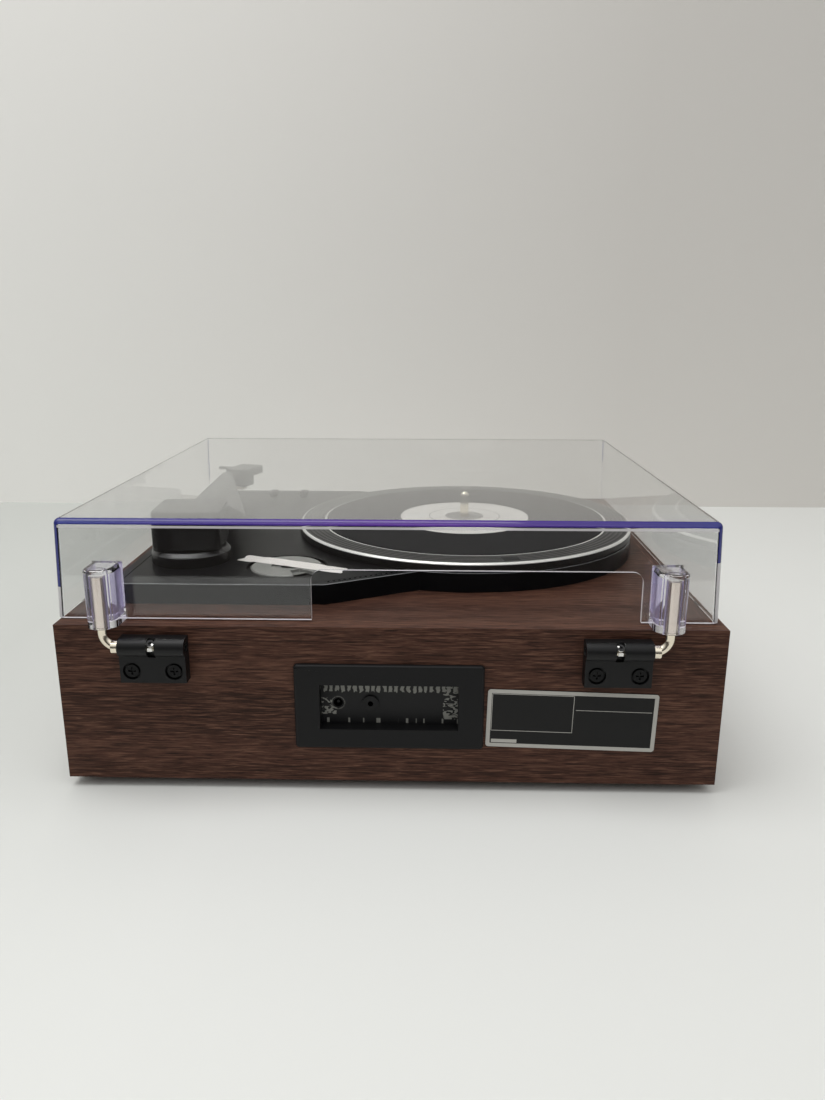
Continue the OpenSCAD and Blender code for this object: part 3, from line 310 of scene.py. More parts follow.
def mapTo(tree, factor, low, high, start=0, end=1):
    node = addNode(tree, "ShaderNodeMapRange")
    setInputs(tree, node, {"Value": factor, "From Min": start, "From Max": end, "To Min": low,
                           "To Max": high})
    return node.outputs["Result"]


def between(tree, value, low, high, soft=0.0002):
    up = mapTo(tree, value, 0, 1, low - soft, low + soft)
    down = mapTo(tree, value, 0, 1, high + soft, high - soft)
    return maths(tree, "MULTIPLY", up, down)


def noise(tree, vector, scale, detail=4, roughness=0.55, distortion=0):
    node = addNode(tree, "ShaderNodeTexNoise", Scale=scale, Detail=detail, Roughness=roughness,
                   Distortion=distortion)
    tree.links.new(vector, node.inputs["Vector"])
    return node.outputs["Fac"]


def ripple(tree, value, pitch):
    return maths(tree, "SINE", maths(tree, "MULTIPLY", value, 2 * math.pi / pitch))


def distance(tree, first, second):
    square = maths(tree, "MULTIPLY_ADD", first, first, maths(tree, "MULTIPLY", second, second))
    return maths(tree, "SQRT", square)


def bump(tree, shader, height, strength, depth):
    node = addNode(tree, "ShaderNodeBump", Strength=strength, Distance=depth)
    tree.links.new(height, node.inputs["Height"])
    tree.links.new(node.outputs["Normal"], shader.inputs["Normal"])


def srgb(red, green, blue):
    def linear(value):
        value /= 255
        return value / 12.92 if value <= 0.04045 else ((value + 0.055) / 1.055) ** 2.4
    return (linear(red), linear(green), linear(blue))


# finishes

walnut = {"dark": srgb(52, 32, 24), "mid": srgb(74, 47, 37), "light": srgb(110, 78, 63),
          "vein": srgb(31, 18, 13), "stretch": 0.055, "bands": 34, "streaks": 860, "fibres": 1700,
          "paler": (0, 0.95, 0.5, 0.68), "dashes": (0.88, 0, 0.33, 0.47), "hairs": (0.55, 0, 0.34, 0.5),
          "rough": (0.6, 0.42), "specular": 0.15, "bump": (0.2, 0.0003)}


def makeWalnut(name, along, level=1):
    material, tree, shader = newMaterial(name)
    dark, mid, light, vein = [tuple(channel * level for channel in walnut[tone])
                              for tone in ("dark", "mid", "light", "vein")]
    scale = [1, 1, 1]
    scale[along] = walnut["stretch"]
    vector = objectCoords(tree, scale=scale)
    bands = noise(tree, vector, walnut["bands"], detail=5, roughness=0.6, distortion=0.7)
    streaks = noise(tree, vector, walnut["streaks"], detail=3, roughness=0.65, distortion=0.5)
    fibres = noise(tree, vector, walnut["fibres"], detail=2, roughness=0.6)
    shade = ramp(tree, bands, [(0.3, dark), (0.52, mid), (0.9, light)])
    shade = mixColour(tree, mapTo(tree, streaks, *walnut["paler"]), shade, light)
    shade = mixColour(tree, mapTo(tree, streaks, *walnut["dashes"]), shade, vein)
    shade = mixColour(tree, mapTo(tree, fibres, *walnut["hairs"]), shade, vein)
    setInputs(tree, shader, {"Base Color": shade, "Roughness": mapTo(tree, streaks, *walnut["rough"]),
                             "Specular IOR Level": walnut["specular"]})
    bump(tree, shader, streaks, *walnut["bump"])
    return material


plastic = {"blotch": 18, "bump": 0.0003}


def makePlastic(name, colour, low, high, grain=900, depth=0.05, lighter=1.25, specular=0.5):
    material, tree, shader = newMaterial(name)
    vector = objectCoords(tree)
    blotch = noise(tree, vector, plastic["blotch"], detail=5)
    fine = noise(tree, vector, grain, detail=2)
    paler = tuple(min(1, channel * lighter) for channel in colour)
    setInputs(tree, shader, {"Base Color": mixColour(tree, blotch, colour, paler),
                             "Roughness": mapTo(tree, blotch, low, high), "Specular IOR Level": specular})
    bump(tree, shader, fine, depth, plastic["bump"])
    return material


deckEdge = {"corner": (0.046, 0.15685), "along": (-0.8815, -0.4721), "dots": (0.0042, 0.0058), "pitch": 0.004,
            "beads": (0.1, 0.4), "run": (0.003, 0.074), "lines": ((0.0029, 0.0034), (0.0066, 0.0071)),
            "groove": (0.1868, 0.1876), "soft": 0.0001, "plain": (srgb(13, 13, 14), srgb(18, 18, 19)),
            "dentShade": srgb(3, 3, 3), "rough": (0.26, 0.36), "specular": 0.06, "bump": (0.6, 0.0004)}


def makeDeck(name):
    material, tree, shader = newMaterial(name)
    vector = objectCoords(tree)
    x, y, z = axes(tree, vector)
    soft = deckEdge["soft"]
    cornerX, cornerY = deckEdge["corner"]
    alongX, alongY = deckEdge["along"]
    awayX = maths(tree, "SUBTRACT", x, cornerX)
    awayY = maths(tree, "SUBTRACT", y, cornerY)
    along = maths(tree, "MULTIPLY_ADD", awayX, alongX, maths(tree, "MULTIPLY", awayY, alongY))
    inward = maths(tree, "MULTIPLY_ADD", awayX, -alongY, maths(tree, "MULTIPLY", awayY, alongX))
    # dots along the slanting edge, two lines beside it and a groove near the +X edge are bumped in and also
    # painted near-black without specular, as painted shade in them
    beads = mapTo(tree, ripple(tree, along, deckEdge["pitch"]), 0, 1, *deckEdge["beads"])
    dents = maths(tree, "MULTIPLY", between(tree, inward, *deckEdge["dots"], soft), beads)
    for line in deckEdge["lines"]:
        dents = maths(tree, "MAXIMUM", dents, between(tree, inward, *line, soft))
    dents = maths(tree, "MULTIPLY", dents, between(tree, along, *deckEdge["run"], soft))
    dents = maths(tree, "MAXIMUM", dents, between(tree, x, *deckEdge["groove"], soft))
    blotch = noise(tree, vector, plastic["blotch"], detail=5)
    plain = mixColour(tree, blotch, *deckEdge["plain"])
    setInputs(tree, shader, {"Base Color": mixColour(tree, dents, plain, deckEdge["dentShade"]),
                             "Roughness": mapTo(tree, blotch, *deckEdge["rough"]),
                             "Specular IOR Level": mapTo(tree, dents, deckEdge["specular"], 0)})
    bump(tree, shader, maths(tree, "SUBTRACT", 1, dents), *deckEdge["bump"])
    return material


metal = {"brushed": 0.04, "streaks": 700, "cloud": 40, "lighter": 1.12, "bump": (0.03, 0.0002)}


def makeMetal(name, colour, low, high, along=None):
    material, tree, shader = newMaterial(name)
    scale = [1, 1, 1]
    if along is not None:
        scale[along] = metal["brushed"]
    streaks = noise(tree, objectCoords(tree, scale=scale), metal["streaks"], detail=3)
    cloud = noise(tree, objectCoords(tree), metal["cloud"])
    paler = tuple(min(1, channel * metal["lighter"]) for channel in colour)
    setInputs(tree, shader, {"Base Color": mixColour(tree, cloud, colour, paler), "Metallic": 1,
                             "Roughness": mapTo(tree, streaks, low, high)})
    bump(tree, shader, streaks, *metal["bump"])
    return material


def letLampsThrough(tree, shader, colour):
    path = addNode(tree, "ShaderNodeLightPath")
    through = addNode(tree, "ShaderNodeBsdfTransparent")
    feed(tree, through.inputs["Color"], colour)
    mix = addNode(tree, "ShaderNodeMixShader")
    tree.links.new(path.outputs["Is Shadow Ray"], mix.inputs["Fac"])
    tree.links.new(shader.outputs["BSDF"], mix.inputs[1])
    tree.links.new(through.outputs["BSDF"], mix.inputs[2])
    tree.links.new(mix.outputs["Shader"], tree.nodes["Material Output"].inputs["Surface"])


acrylic = {"ior": 1.49, "smears": 14, "smearRange": (0.45, 0.75), "shadow": (0.84, 0.84, 0.85)}


def makeClear(name, colour, low, high):
    material, tree, shader = newMaterial(name)
    smears = noise(tree, objectCoords(tree), acrylic["smears"], detail=6, roughness=0.7)
    rough = mapTo(tree, smears, low, high, *acrylic["smearRange"])
    setInputs(tree, shader, {"Base Color": colour, "Roughness": rough, "IOR": acrylic["ior"],
                             "Transmission Weight": 1})
    letLampsThrough(tree, shader, acrylic["shadow"])
    return material


# violet-blue painted glow for the lid's rear edges: light gathered in the acrylic, painted on as colour
paintedGlow = {"blue": srgb(46, 52, 138), "violet": srgb(88, 44, 156), "middle": -0.01, "span": (0.02, 0.2),
        "rough": 0.06, "through": 0.3, "shadow": (0.7, 0.7, 0.85)}


def makePaintedGlowEdge(name):
    material, tree, shader = newMaterial(name)
    x, y, z = axes(tree, objectCoords(tree))
    sideways = maths(tree, "ABSOLUTE", maths(tree, "SUBTRACT", x, paintedGlow["middle"]))
    bluer = mapTo(tree, sideways, 0, 1, *paintedGlow["span"])
    setInputs(tree, shader, {"Base Color": mixColour(tree, bluer, paintedGlow["violet"], paintedGlow["blue"]),
                             "Roughness": paintedGlow["rough"], "IOR": acrylic["ior"],
                             "Transmission Weight": paintedGlow["through"]})
    letLampsThrough(tree, shader, paintedGlow["shadow"])
    return material


# pale, partly clear acrylic painted on as a highlight: the bright band below the lid's rear top edge, its
# corners and its bottom rim
pale = {"tones": (srgb(226, 222, 226), srgb(250, 247, 250)), "stretch": (0.2, 1, 1), "streaks": 60,
        "rough": 0.2, "shadow": (0.8, 0.8, 0.82)}


def makePaintedHighlight(name, through):
    material, tree, shader = newMaterial(name)
    streaks = noise(tree, objectCoords(tree, scale=pale["stretch"]), pale["streaks"], detail=3)
    setInputs(tree, shader, {"Base Color": mixColour(tree, streaks, *pale["tones"]),
                             "Roughness": pale["rough"], "IOR": acrylic["ior"],
                             "Transmission Weight": through})
    letLampsThrough(tree, shader, pale["shadow"])
    return material


# the rod's hole bends light only a little, so that the rod stays in sight
socketHole = {"stretch": (1, 1, 0.1), "streaks": 160, "rough": 0.04, "ior": 1.08,
              "shadow": (0.85, 0.83, 0.9)}


def makeSocketInner(name, through, tones):
    material, tree, shader = newMaterial(name)
    streaks = noise(tree, objectCoords(tree, scale=socketHole["stretch"]), socketHole["streaks"], detail=3)
    setInputs(tree, shader, {"Base Color": mixColour(tree, streaks, *tones), "Roughness": socketHole["rough"],
                             "IOR": socketHole["ior"], "Transmission Weight": through})
    letLampsThrough(tree, shader, socketHole["shadow"])
    return material


# the rings at the mat edge and rim are painted near-white and half metallic on their tops only as a painted
# highlight; the grooves get painted glints in lighter stripes
platterZones = {"centre": (0.055, 0.01265), "matEdge": (0.1183, 0.1200), "rim": (0.1381, 0.1405),
                "rimFrom": 0.1354, "pitch": 0.0036, "cloud": 30, "dark": (srgb(11, 11, 12), srgb(17, 17, 18)),
                "glint": srgb(74, 74, 73), "glints": (0, 0.8, 0.35, 0.95), "bright": srgb(226, 226, 222),
                "metallic": 0.5, "rough": (0.3, 0.35), "specular": 0.12, "bump": (0.35, 0.0003)}


def makePlatter(name):
    material, tree, shader = newMaterial(name)
    vector = objectCoords(tree, location=(*platterZones["centre"], 0))
    x, y, z = axes(tree, vector)
    reach = distance(tree, x, y)
    inner = between(tree, reach, *platterZones["matEdge"])
    outer = between(tree, reach, *platterZones["rim"])
    top = between(tree, z, platterZones["rimFrom"], farAbove)
    # painted highlight mask: the two rings, on top only
    bright = maths(tree, "MULTIPLY", maths(tree, "ADD", inner, outer), top)
    grooves = ripple(tree, reach, platterZones["pitch"])
    shade = mixColour(tree, noise(tree, vector, platterZones["cloud"]), *platterZones["dark"])
    shade = mixColour(tree, mapTo(tree, grooves, *platterZones["glints"]), shade, platterZones["glint"])
    shade = mixColour(tree, bright, shade, platterZones["bright"])
    setInputs(tree, shader, {"Base Color": shade, "Specular IOR Level": platterZones["specular"],
                             "Metallic": maths(tree, "MULTIPLY", bright, platterZones["metallic"]),
                             "Roughness": mapTo(tree, bright, *platterZones["rough"])})
    plain = maths(tree, "SUBTRACT", 1, bright)
    bump(tree, shader, maths(tree, "MULTIPLY", grooves, plain), *platterZones["bump"])
    return material


mat = {"label": 0.055, "ring": (0.0298, 0.0306), "middle": 0.0165, "pitch": 0.0026, "cloud": 60,
       "black": (srgb(15, 15, 15), srgb(42, 42, 43)), "pale": (srgb(196, 194, 189), srgb(214, 212, 207)),
       "ringGrey": srgb(96, 95, 93), "middleGrey": srgb(120, 119, 117), "rough": (0.72, 0.5),
       "specular": 0.12, "bump": (0.5, 0.0004)}


def makeMat(name):
    material, tree, shader = newMaterial(name)
    vector = objectCoords(tree, location=(*platterZones["centre"], 0))
    x, y, z = axes(tree, vector)
    reach = distance(tree, x, y)
    waffle = maths(tree, "MULTIPLY", ripple(tree, x, mat["pitch"]), ripple(tree, y, mat["pitch"]))
    black = mixColour(tree, mapTo(tree, waffle, 0, 1, -1, 1), *mat["black"])
    label = mixColour(tree, noise(tree, vector, mat["cloud"]), *mat["pale"])
    label = mixColour(tree, between(tree, reach, *mat["ring"]), label, mat["ringGrey"])
    label = mixColour(tree, between(tree, reach, farBelow, mat["middle"]), label, mat["middleGrey"])
    inLabel = between(tree, reach, farBelow, mat["label"])
    setInputs(tree, shader, {"Base Color": mixColour(tree, inLabel, black, label),
                             "Roughness": mapTo(tree, inLabel, *mat["rough"]),
                             "Specular IOR Level": mat["specular"]})
    outside = maths(tree, "SUBTRACT", 1, inLabel)
    bump(tree, shader, maths(tree, "MULTIPLY", waffle, outside), *mat["bump"])
    return material


residue = {"colour": srgb(146, 146, 140), "pitch": 0.0039, "waves": 240, "wobble": 5,
           "stripes": (-0.45, -0.2), "ends": 330, "dripsEnd": 0.0676, "dripsVary": 0.006,
           "fade": (-0.0001, 0.0003), "blobs": 300, "smears": (0.5, 0.54), "left": (0.0352, 0.05),
           "leftUp": (0.0515, 0.0632), "right": (-0.05, -0.0352), "rightUp": (0.0485, 0.073),
           "spots": 210, "spotted": (0.56, 0.6), "foot": 0.0488, "footSoft": 0.0003,
           "inlet": (0.034, 0.0597), "ring": (0.0034, 0.0047), "flakes": 900, "flaky": (0.4, 0.5),
           "faint": 0.4, "grain": 1400,
           "plain": (srgb(24, 24, 25), srgb(34, 34, 35)), "rough": (0.5, 0.85), "specular": 0.25,
           "bump": (0.4, 0.0002)}


def makeJackPlate(name):
    material, tree, shader = newMaterial(name)
    vector = objectCoords(tree)
    sideways = objectCoords(tree, scale=(1, 0, 0))
    patches = objectCoords(tree, scale=(0.75, 1, 1.25))
    x, y, z = axes(tree, vector)
    turns = maths(tree, "MULTIPLY", x, 2 * math.pi / residue["pitch"])
    waves = noise(tree, vector, residue["waves"], detail=1)
    lean = maths(tree, "MULTIPLY_ADD", waves, residue["wobble"], turns)
    stripes = mapTo(tree, maths(tree, "SINE", lean), 0, 1, *residue["stripes"])
    above = maths(tree, "ADD", z, residue["dripsVary"] / 2 - residue["dripsEnd"])
    ends = noise(tree, sideways, residue["ends"], detail=1)
    reach = maths(tree, "MULTIPLY_ADD", ends, -residue["dripsVary"], above)
    drips = maths(tree, "MULTIPLY", stripes, mapTo(tree, reach, 0, 1, *residue["fade"]))
    blobs = noise(tree, patches, residue["blobs"], detail=1, roughness=0.3, distortion=1.6)
    smears = mapTo(tree, blobs, 0, 1, *residue["smears"])
    left = maths(tree, "MULTIPLY", between(tree, x, *residue["left"]), between(tree, z, *residue["leftUp"]))
    right = maths(tree, "MULTIPLY", between(tree, x, *residue["right"]),
                  between(tree, z, *residue["rightUp"]))
    sides = maths(tree, "MULTIPLY", maths(tree, "MAXIMUM", left, right), smears)
    spots = mapTo(tree, noise(tree, sideways, residue["spots"], detail=2), 0, 1, *residue["spotted"])
    low = between(tree, z, farBelow, residue["foot"], residue["footSoft"])
    foot = maths(tree, "MULTIPLY", spots, low)
    across = maths(tree, "SUBTRACT", x, residue["inlet"][0])
    up = maths(tree, "SUBTRACT", z, residue["inlet"][1])
    flaky = mapTo(tree, noise(tree, vector, residue["flakes"], detail=2), 0, 1, *residue["flaky"])
    ring = maths(tree, "MULTIPLY", between(tree, distance(tree, across, up), *residue["ring"]),
                 maths(tree, "MULTIPLY", flaky, residue["faint"]))
    flakes = maths(tree, "MAXIMUM", maths(tree, "MAXIMUM", drips, sides), maths(tree, "MAXIMUM", foot, ring))
    plain = mixColour(tree, noise(tree, vector, residue["grain"], detail=2), *residue["plain"])
    setInputs(tree, shader, {"Base Color": mixColour(tree, flakes, plain, residue["colour"]),
                             "Roughness": mapTo(tree, flakes, *residue["rough"]),
                             "Specular IOR Level": residue["specular"]})
    bump(tree, shader, flakes, *residue["bump"])
    return material


weave = {"pitch": 0.0011, "dark": srgb(20, 20, 21), "light": srgb(66, 64, 62), "slubs": 500, "slub": 0.8,
         "rough": 0.9, "sheen": 0.25, "bump": (0.6, 0.0004)}


def makeWeave(name):
    material, tree, shader = newMaterial(name)
    x, y, z = axes(tree, objectCoords(tree))
    thread = maths(tree, "MULTIPLY", ripple(tree, x, weave["pitch"]), ripple(tree, z, weave["pitch"]))
    slub = noise(tree, objectCoords(tree, scale=(1, 1, 0.1)), weave["slubs"], detail=3)
    lit = mapTo(tree, maths(tree, "MULTIPLY_ADD", slub, weave["slub"], thread), 0, 1, -0.8, 1.6)
    setInputs(tree, shader, {"Base Color": mixColour(tree, lit, weave["dark"], weave["light"]),
                             "Roughness": weave["rough"], "Sheen Weight": weave["sheen"]})
    bump(tree, shader, thread, *weave["bump"])
    return material


dial = {"centres": (0.03, -0.03), "height": 0.061, "front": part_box("volume_knob")[0][1], "frontDepth": 0.0012,
        "ridges": 40, "sideFrom": 0.0127, "pointer": (0.0022, 0.0112), "pointerHalf": 0.00065, "soft": 0.0001,
        "cloud": 60,
        "dark": (srgb(20, 20, 21), srgb(29, 29, 30)), "mark": srgb(222, 221, 216), "rough": (0.28, 0.4),
        "bump": (0.7, 0.0005)}


def makeKnob(name, centre):
    material, tree, shader = newMaterial(name)
    vector = objectCoords(tree, location=(-centre, 0, -dial["height"]))
    x, y, z = axes(tree, vector)
    half = dial["pointerHalf"]
    stripe = maths(tree, "MULTIPLY", between(tree, x, -half, half, dial["soft"]),
                   between(tree, z, *dial["pointer"]))
    ahead = between(tree, y, farBelow, dial["front"] + dial["frontDepth"])
    mark = maths(tree, "MULTIPLY", stripe, ahead)
    cloud = noise(tree, vector, dial["cloud"])
    dark = mixColour(tree, cloud, *dial["dark"])
    setInputs(tree, shader, {"Base Color": mixColour(tree, mark, dark, dial["mark"]),
                             "Roughness": mapTo(tree, cloud, *dial["rough"])})
    turn = maths(tree, "ARCTAN2", z, x)
    ridges = maths(tree, "SINE", maths(tree, "MULTIPLY", turn, dial["ridges"]))
    side = between(tree, distance(tree, x, z), dial["sideFrom"], farAbove)
    bump(tree, shader, maths(tree, "MULTIPLY", ridges, side), *dial["bump"])
    return material


woodX = makeWalnut("walnutAcross", 0)
woodY = makeWalnut("walnutDeep", 1)
# the top board is the same walnut painted darker, as painted shade from the lid and platter over it
woodTopShaded = makeWalnut("walnutTopShaded", 0, 0.82)
blackGloss = makePlastic("blackGloss", srgb(11, 11, 12), 0.12, 0.2, depth=0.005, specular=0.16)
armBlack = makePlastic("armBlack", srgb(15, 15, 16), 0.2, 0.3, depth=0.005, specular=0.5)
deckRollHighlight = makePlastic("deckRollHighlight", srgb(98, 99, 101), 0.22, 0.32, depth=0.01, specular=0.6)
baseRollHighlight = makePlastic("baseRollHighlight", srgb(46, 46, 47), 0.2, 0.3, depth=0.01, specular=0.6)
deckBlack = makeDeck("deckBlack")
blackSatin = makePlastic("blackSatin", srgb(13, 13, 14), 0.34, 0.46, grain=1600, depth=0.12, specular=0.26)
blackMatte = makePlastic("blackMatte", srgb(27, 27, 28), 0.6, 0.75, grain=1200, depth=0.2)
bezelBlack = makePlastic("bezelBlack", srgb(15, 15, 16), 0.42, 0.55, grain=2000, depth=0.15, specular=0.22)
nickel = makeMetal("nickelRod", srgb(228, 219, 201), 0.1, 0.2)
brightSteel = makeMetal("brightSteel", srgb(236, 235, 232), 0.32, 0.42)
steel = makeMetal("screwSteel", srgb(170, 170, 168), 0.28, 0.45, along=2)
brass = makeMetal("turnedBrass", srgb(186, 152, 76), 0.22, 0.36, along=2)
rubber = makePlastic("footRubber", srgb(23, 23, 23), 0.75, 0.9, grain=1500, depth=0.25)
greenBoard = makePlastic("boardGreen", srgb(28, 86, 56), 0.35, 0.5)
adapterGrey = makePlastic("adapterGrey", srgb(118, 119, 115), 0.16, 0.3, depth=0.03, lighter=1.1)
coneBlack = makePlastic("coneFibre", srgb(36, 35, 34), 0.8, 0.95, grain=500, depth=0.5)
amber = makePlastic("lampAmber", srgb(200, 120, 40), 0.15, 0.25, depth=0.02)
cream = makePlastic("stylusCream", srgb(216, 210, 196), 0.3, 0.4)
labelBlack = makePlastic("labelBlack", srgb(17, 17, 17), 0.4, 0.5, grain=2200, depth=0.06, specular=0.25)
labelSilver = makePlastic("labelSilver", srgb(172, 170, 164), 0.35, 0.5, grain=2200, depth=0.06, lighter=1.12)
tapeWhite = makePlastic("tapeWhite", srgb(214, 211, 206), 0.5, 0.75, grain=320, depth=0.5, lighter=1.08)
dialWhite = makePlastic("dialWhite", srgb(205, 204, 200), 0.45, 0.6)
clearLid = makeClear("clearAcrylic", (0.962, 0.965, 0.964), 0.0, 0.03)
socketClear = makeClear("socketAcrylic", (0.95, 0.94, 0.995), 0.02, 0.06)
paintedGlowEdge = makePaintedGlowEdge("paintedGlowEdge")
paintedHighlightEdge = makePaintedHighlight("paintedHighlightEdge", 0.35)
rimPaintedHighlight = makePaintedHighlight("rimPaintedHighlight", 0)
socketInner = makeSocketInner("socketInner", 0.97, (srgb(244, 242, 249), srgb(252, 251, 254)))
# lilac lines on the socket hole's side faces are a painted highlight of the acrylic's edges
socketLineHighlight = makeSocketInner("socketLineHighlight", 0.6, (srgb(176, 168, 210), srgb(214, 208, 234)))
platterBlack = makePlatter("platterBlack")
matWaffle = makeMat("matWaffle")
jackPlateBlack = makeJackPlate("jackPlateBlack")
grilleWeave = makeWeave("grilleWeave")
volumeBlack = makeKnob("volumeBlack", dial["centres"][0])
functionBlack = makeKnob("functionBlack", dial["centres"][1])
print("materials made")

# nodes that stay in sight as they are; any other one is satin black
nodeFinish = {
    "top_board": woodTopShaded, "rear_panel": woodX, "front_baffle": woodX, "bottom_board": woodX,
    "left_side": woodY, "right_side": woodY,
    "slipmat": matWaffle, "drive_belt": rubber,
    "foot_screws": steel, "speaker_screws": steel, "plate_screws": steel, "motor_screws": steel,
    "motor": steel, "arm_yoke": steel, "counterweight": steel,
    "hinge_rod_left": nickel, "hinge_rod_right": nickel, "spindle": nickel,
    "dc_jack": blackGloss, "hinge_screws": blackGloss, "jack_plate": jackPlateBlack,
    "spindle_bush": brass, "motor_pulley": brass, "board_standoffs": brass,
    "main_board": greenBoard, "speaker_cones": coneBlack, "power_lamp": amber, "stylus": cream,
    "arm_beam": armBlack, "grille_left": blackMatte, "grille_right": blackMatte, "lid_bumpers": clearLid,
}
for nodeName, node in nodes.items():
    paint(node, nodeFinish.get(nodeName, blackSatin))
print("nodes finished")


# clear lid: the moulded shell, with the violet glow of light that gathers in its rear edges painted on as
# colour, and pale painted highlights below it, on its corners and along its bottom rim
lid = {"glowDown": (0.026, 0.045), "glowTop": 0.0042, "paleTo": 0.0058, "cutEase": 0.0004, "shift": 0.0024,
       "socketAt": 0.17835, "socketHalf": 0.0105, "socketFrom": 0.015, "socketTop": 0.1545, "topEase": 0.0022,
       "rearWall": 0.0245, "wall": (0.1872, 0.1912), "clearance": 0.0005, "outside": 0.0006,
       "round": (0.2036, 0.00975), "cornerFrom": 0.2, "rimFrom": 0.02}
# how much of a face's normal points one way, for the face to count as turned that way
facing = {"leaning": 0.12, "half": 0.5, "mostly": 0.8, "rearward": 0.9, "squarely": 0.94}
lidLooks = (clearLid, paintedGlowEdge, socketClear, paintedHighlightEdge, socketInner, socketLineHighlight, rimPaintedHighlight)


def socketSide(x):
    return abs(abs(x - lid["shift"]) - lid["socketAt"])


def insideSocket(centre):
    across = socketSide(centre.x)
    middle, reach = lid["round"]
    if centre.y < middle:
        return across < reach - lid["outside"]
    return math.hypot(across, centre.y - middle) < reach - lid["outside"]


def lidLook(centre, normal, high):
    x, y, z = centre
    drop = high[2] - z
    wallFrom, wallTo = lid["wall"]
    glowLimit = lid["glowDown"][1] if x > 0 else lid["glowDown"][0]
    behind = normal.y > facing["leaning"]
    rearEdge = behind and normal.z > facing["leaning"] and drop < lid["glowTop"]
    corner = behind and abs(normal.x) > facing["leaning"] and abs(x) > lid["cornerFrom"]
    # the rear top edge and the upper corners get the violet painted glow
    if rearEdge or (corner and drop < glowLimit):
        return paintedGlowEdge
    atRear = y > high[1] - lid["rearWall"]
    if atRear and socketSide(x) < lid["socketHalf"] and drop > lid["socketFrom"]:
        inside = y > wallTo and insideSocket(centre)
        if not inside or abs(normal.z) >= facing["half"]:
            return socketClear
        return socketLineHighlight if abs(normal.x) > facing["squarely"] else socketInner
    # pale painted highlight in a band below the glow and on the corners below it
    highlightBelow = atRear and normal.y > facing["rearward"] and lid["glowTop"] <= drop < lid["paleTo"]
    if highlightBelow or corner:
        return paintedHighlightEdge
    # the bottom rim of the rear wall is painted opaque white, as a painted highlight of the light the acrylic
    # gathers
    rim = abs(normal.y) < facing["mostly"] and wallFrom < y < wallTo and drop > lid["rimFrom"]
    return rimPaintedHighlight if rim else clearLid


def makeLid():
    piece = cadCopy("dust_cover", "lidShell")
    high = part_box("dust_cover")[1]
    drops = (*lid["glowDown"], lid["glowTop"], lid["paleTo"])
    cuts = [((0, 0, high[2] - drop), (0, 0, 1)) for drop in drops]
    cuts += [((0, depth, 0), (0, 1, 0)) for depth in lid["wall"]]
    for place, normal in cuts:
        editAll(piece)
        bpy.ops.mesh.bisect(plane_co=place, plane_no=normal)
        editDone()

    def socketTops(first, second):
        middle = (first + second) / 2
        beyond = middle.y > lid["wall"][1] + lid["clearance"]
        return bothAt(first, second, 2, lid["socketTop"]) and beyond and not insideSocket(middle)

    selectEdges(piece, socketTops, 50)
    bpy.ops.mesh.bevel(offset=lid["topEase"], segments=3, affect="EDGES", clamp_overlap=False)
    editDone()
    ease(piece, lid["cutEase"], 2, 50)
    smooth(piece, 40)
    finishPiece(piece, "lidShell", "lid", "clear", *lidLooks)
    for polygon in piece.data.polygons:
        polygon.material_index = lidLooks.index(lidLook(polygon.center, polygon.normal, high))
    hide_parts("dust_cover")
    print("lid made,", len(piece.data.polygons), "faces")


makeLid()


# deck plate with a rolled outer edge, the roll's middle faces painted grey as a painted highlight
deck = {"top": 0.1295, "roll": 0.0022, "rollFacing": (0.45, 0.85), "margin": 0.004,
        "spindle": (-0.055, -0.01265), "well": 0.13, "wellOuter": 0.139,
        "pivot": (0.153, 0.09435), "pivotClear": 0.03, "adapter": (0.079, 0.11135), "adapterClear": 0.034}


def makeDeckPlate():
    piece = cadCopy("deck_plate", "deckPlate")
    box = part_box("deck_plate")

    def outerTop(first, second):
        middle = (first + second) / 2
        well = awayFrom(middle, deck["spindle"])
        clear = (well > deck["well"] and awayFrom(middle, deck["pivot"]) > deck["pivotClear"]
                 and awayFrom(middle, deck["adapter"]) > deck["adapterClear"])
        outer = well > deck["wellOuter"] or not inFrom(middle, box, deck["margin"], (0, 1))
        return bothAt(first, second, 2, deck["top"]) and clear and outer

    selectEdges(piece, outerTop, 60)
    chosen = sum(edge.select for edge in bmesh.from_edit_mesh(piece.data).edges)
    bpy.ops.mesh.bevel(offset=deck["roll"], segments=4, affect="EDGES", clamp_overlap=True)
    editDone()
    smooth(piece, 40)
    finishPiece(piece, "deckPlate", "cabinet", "black_gloss", deckBlack, deckRollHighlight)
    # the faces part way round the roll get the painted highlight
    steepest, flattest = deck["rollFacing"]
    for polygon in piece.data.polygons:
        onRoll = polygon.center.z > deck["top"] - deck["roll"] and steepest < polygon.normal.z < flattest
        polygon.material_index = 1 if onRoll else 0
    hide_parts("deck_plate")
    print("deck plate made,", chosen, "edges rolled")


makeDeckPlate()


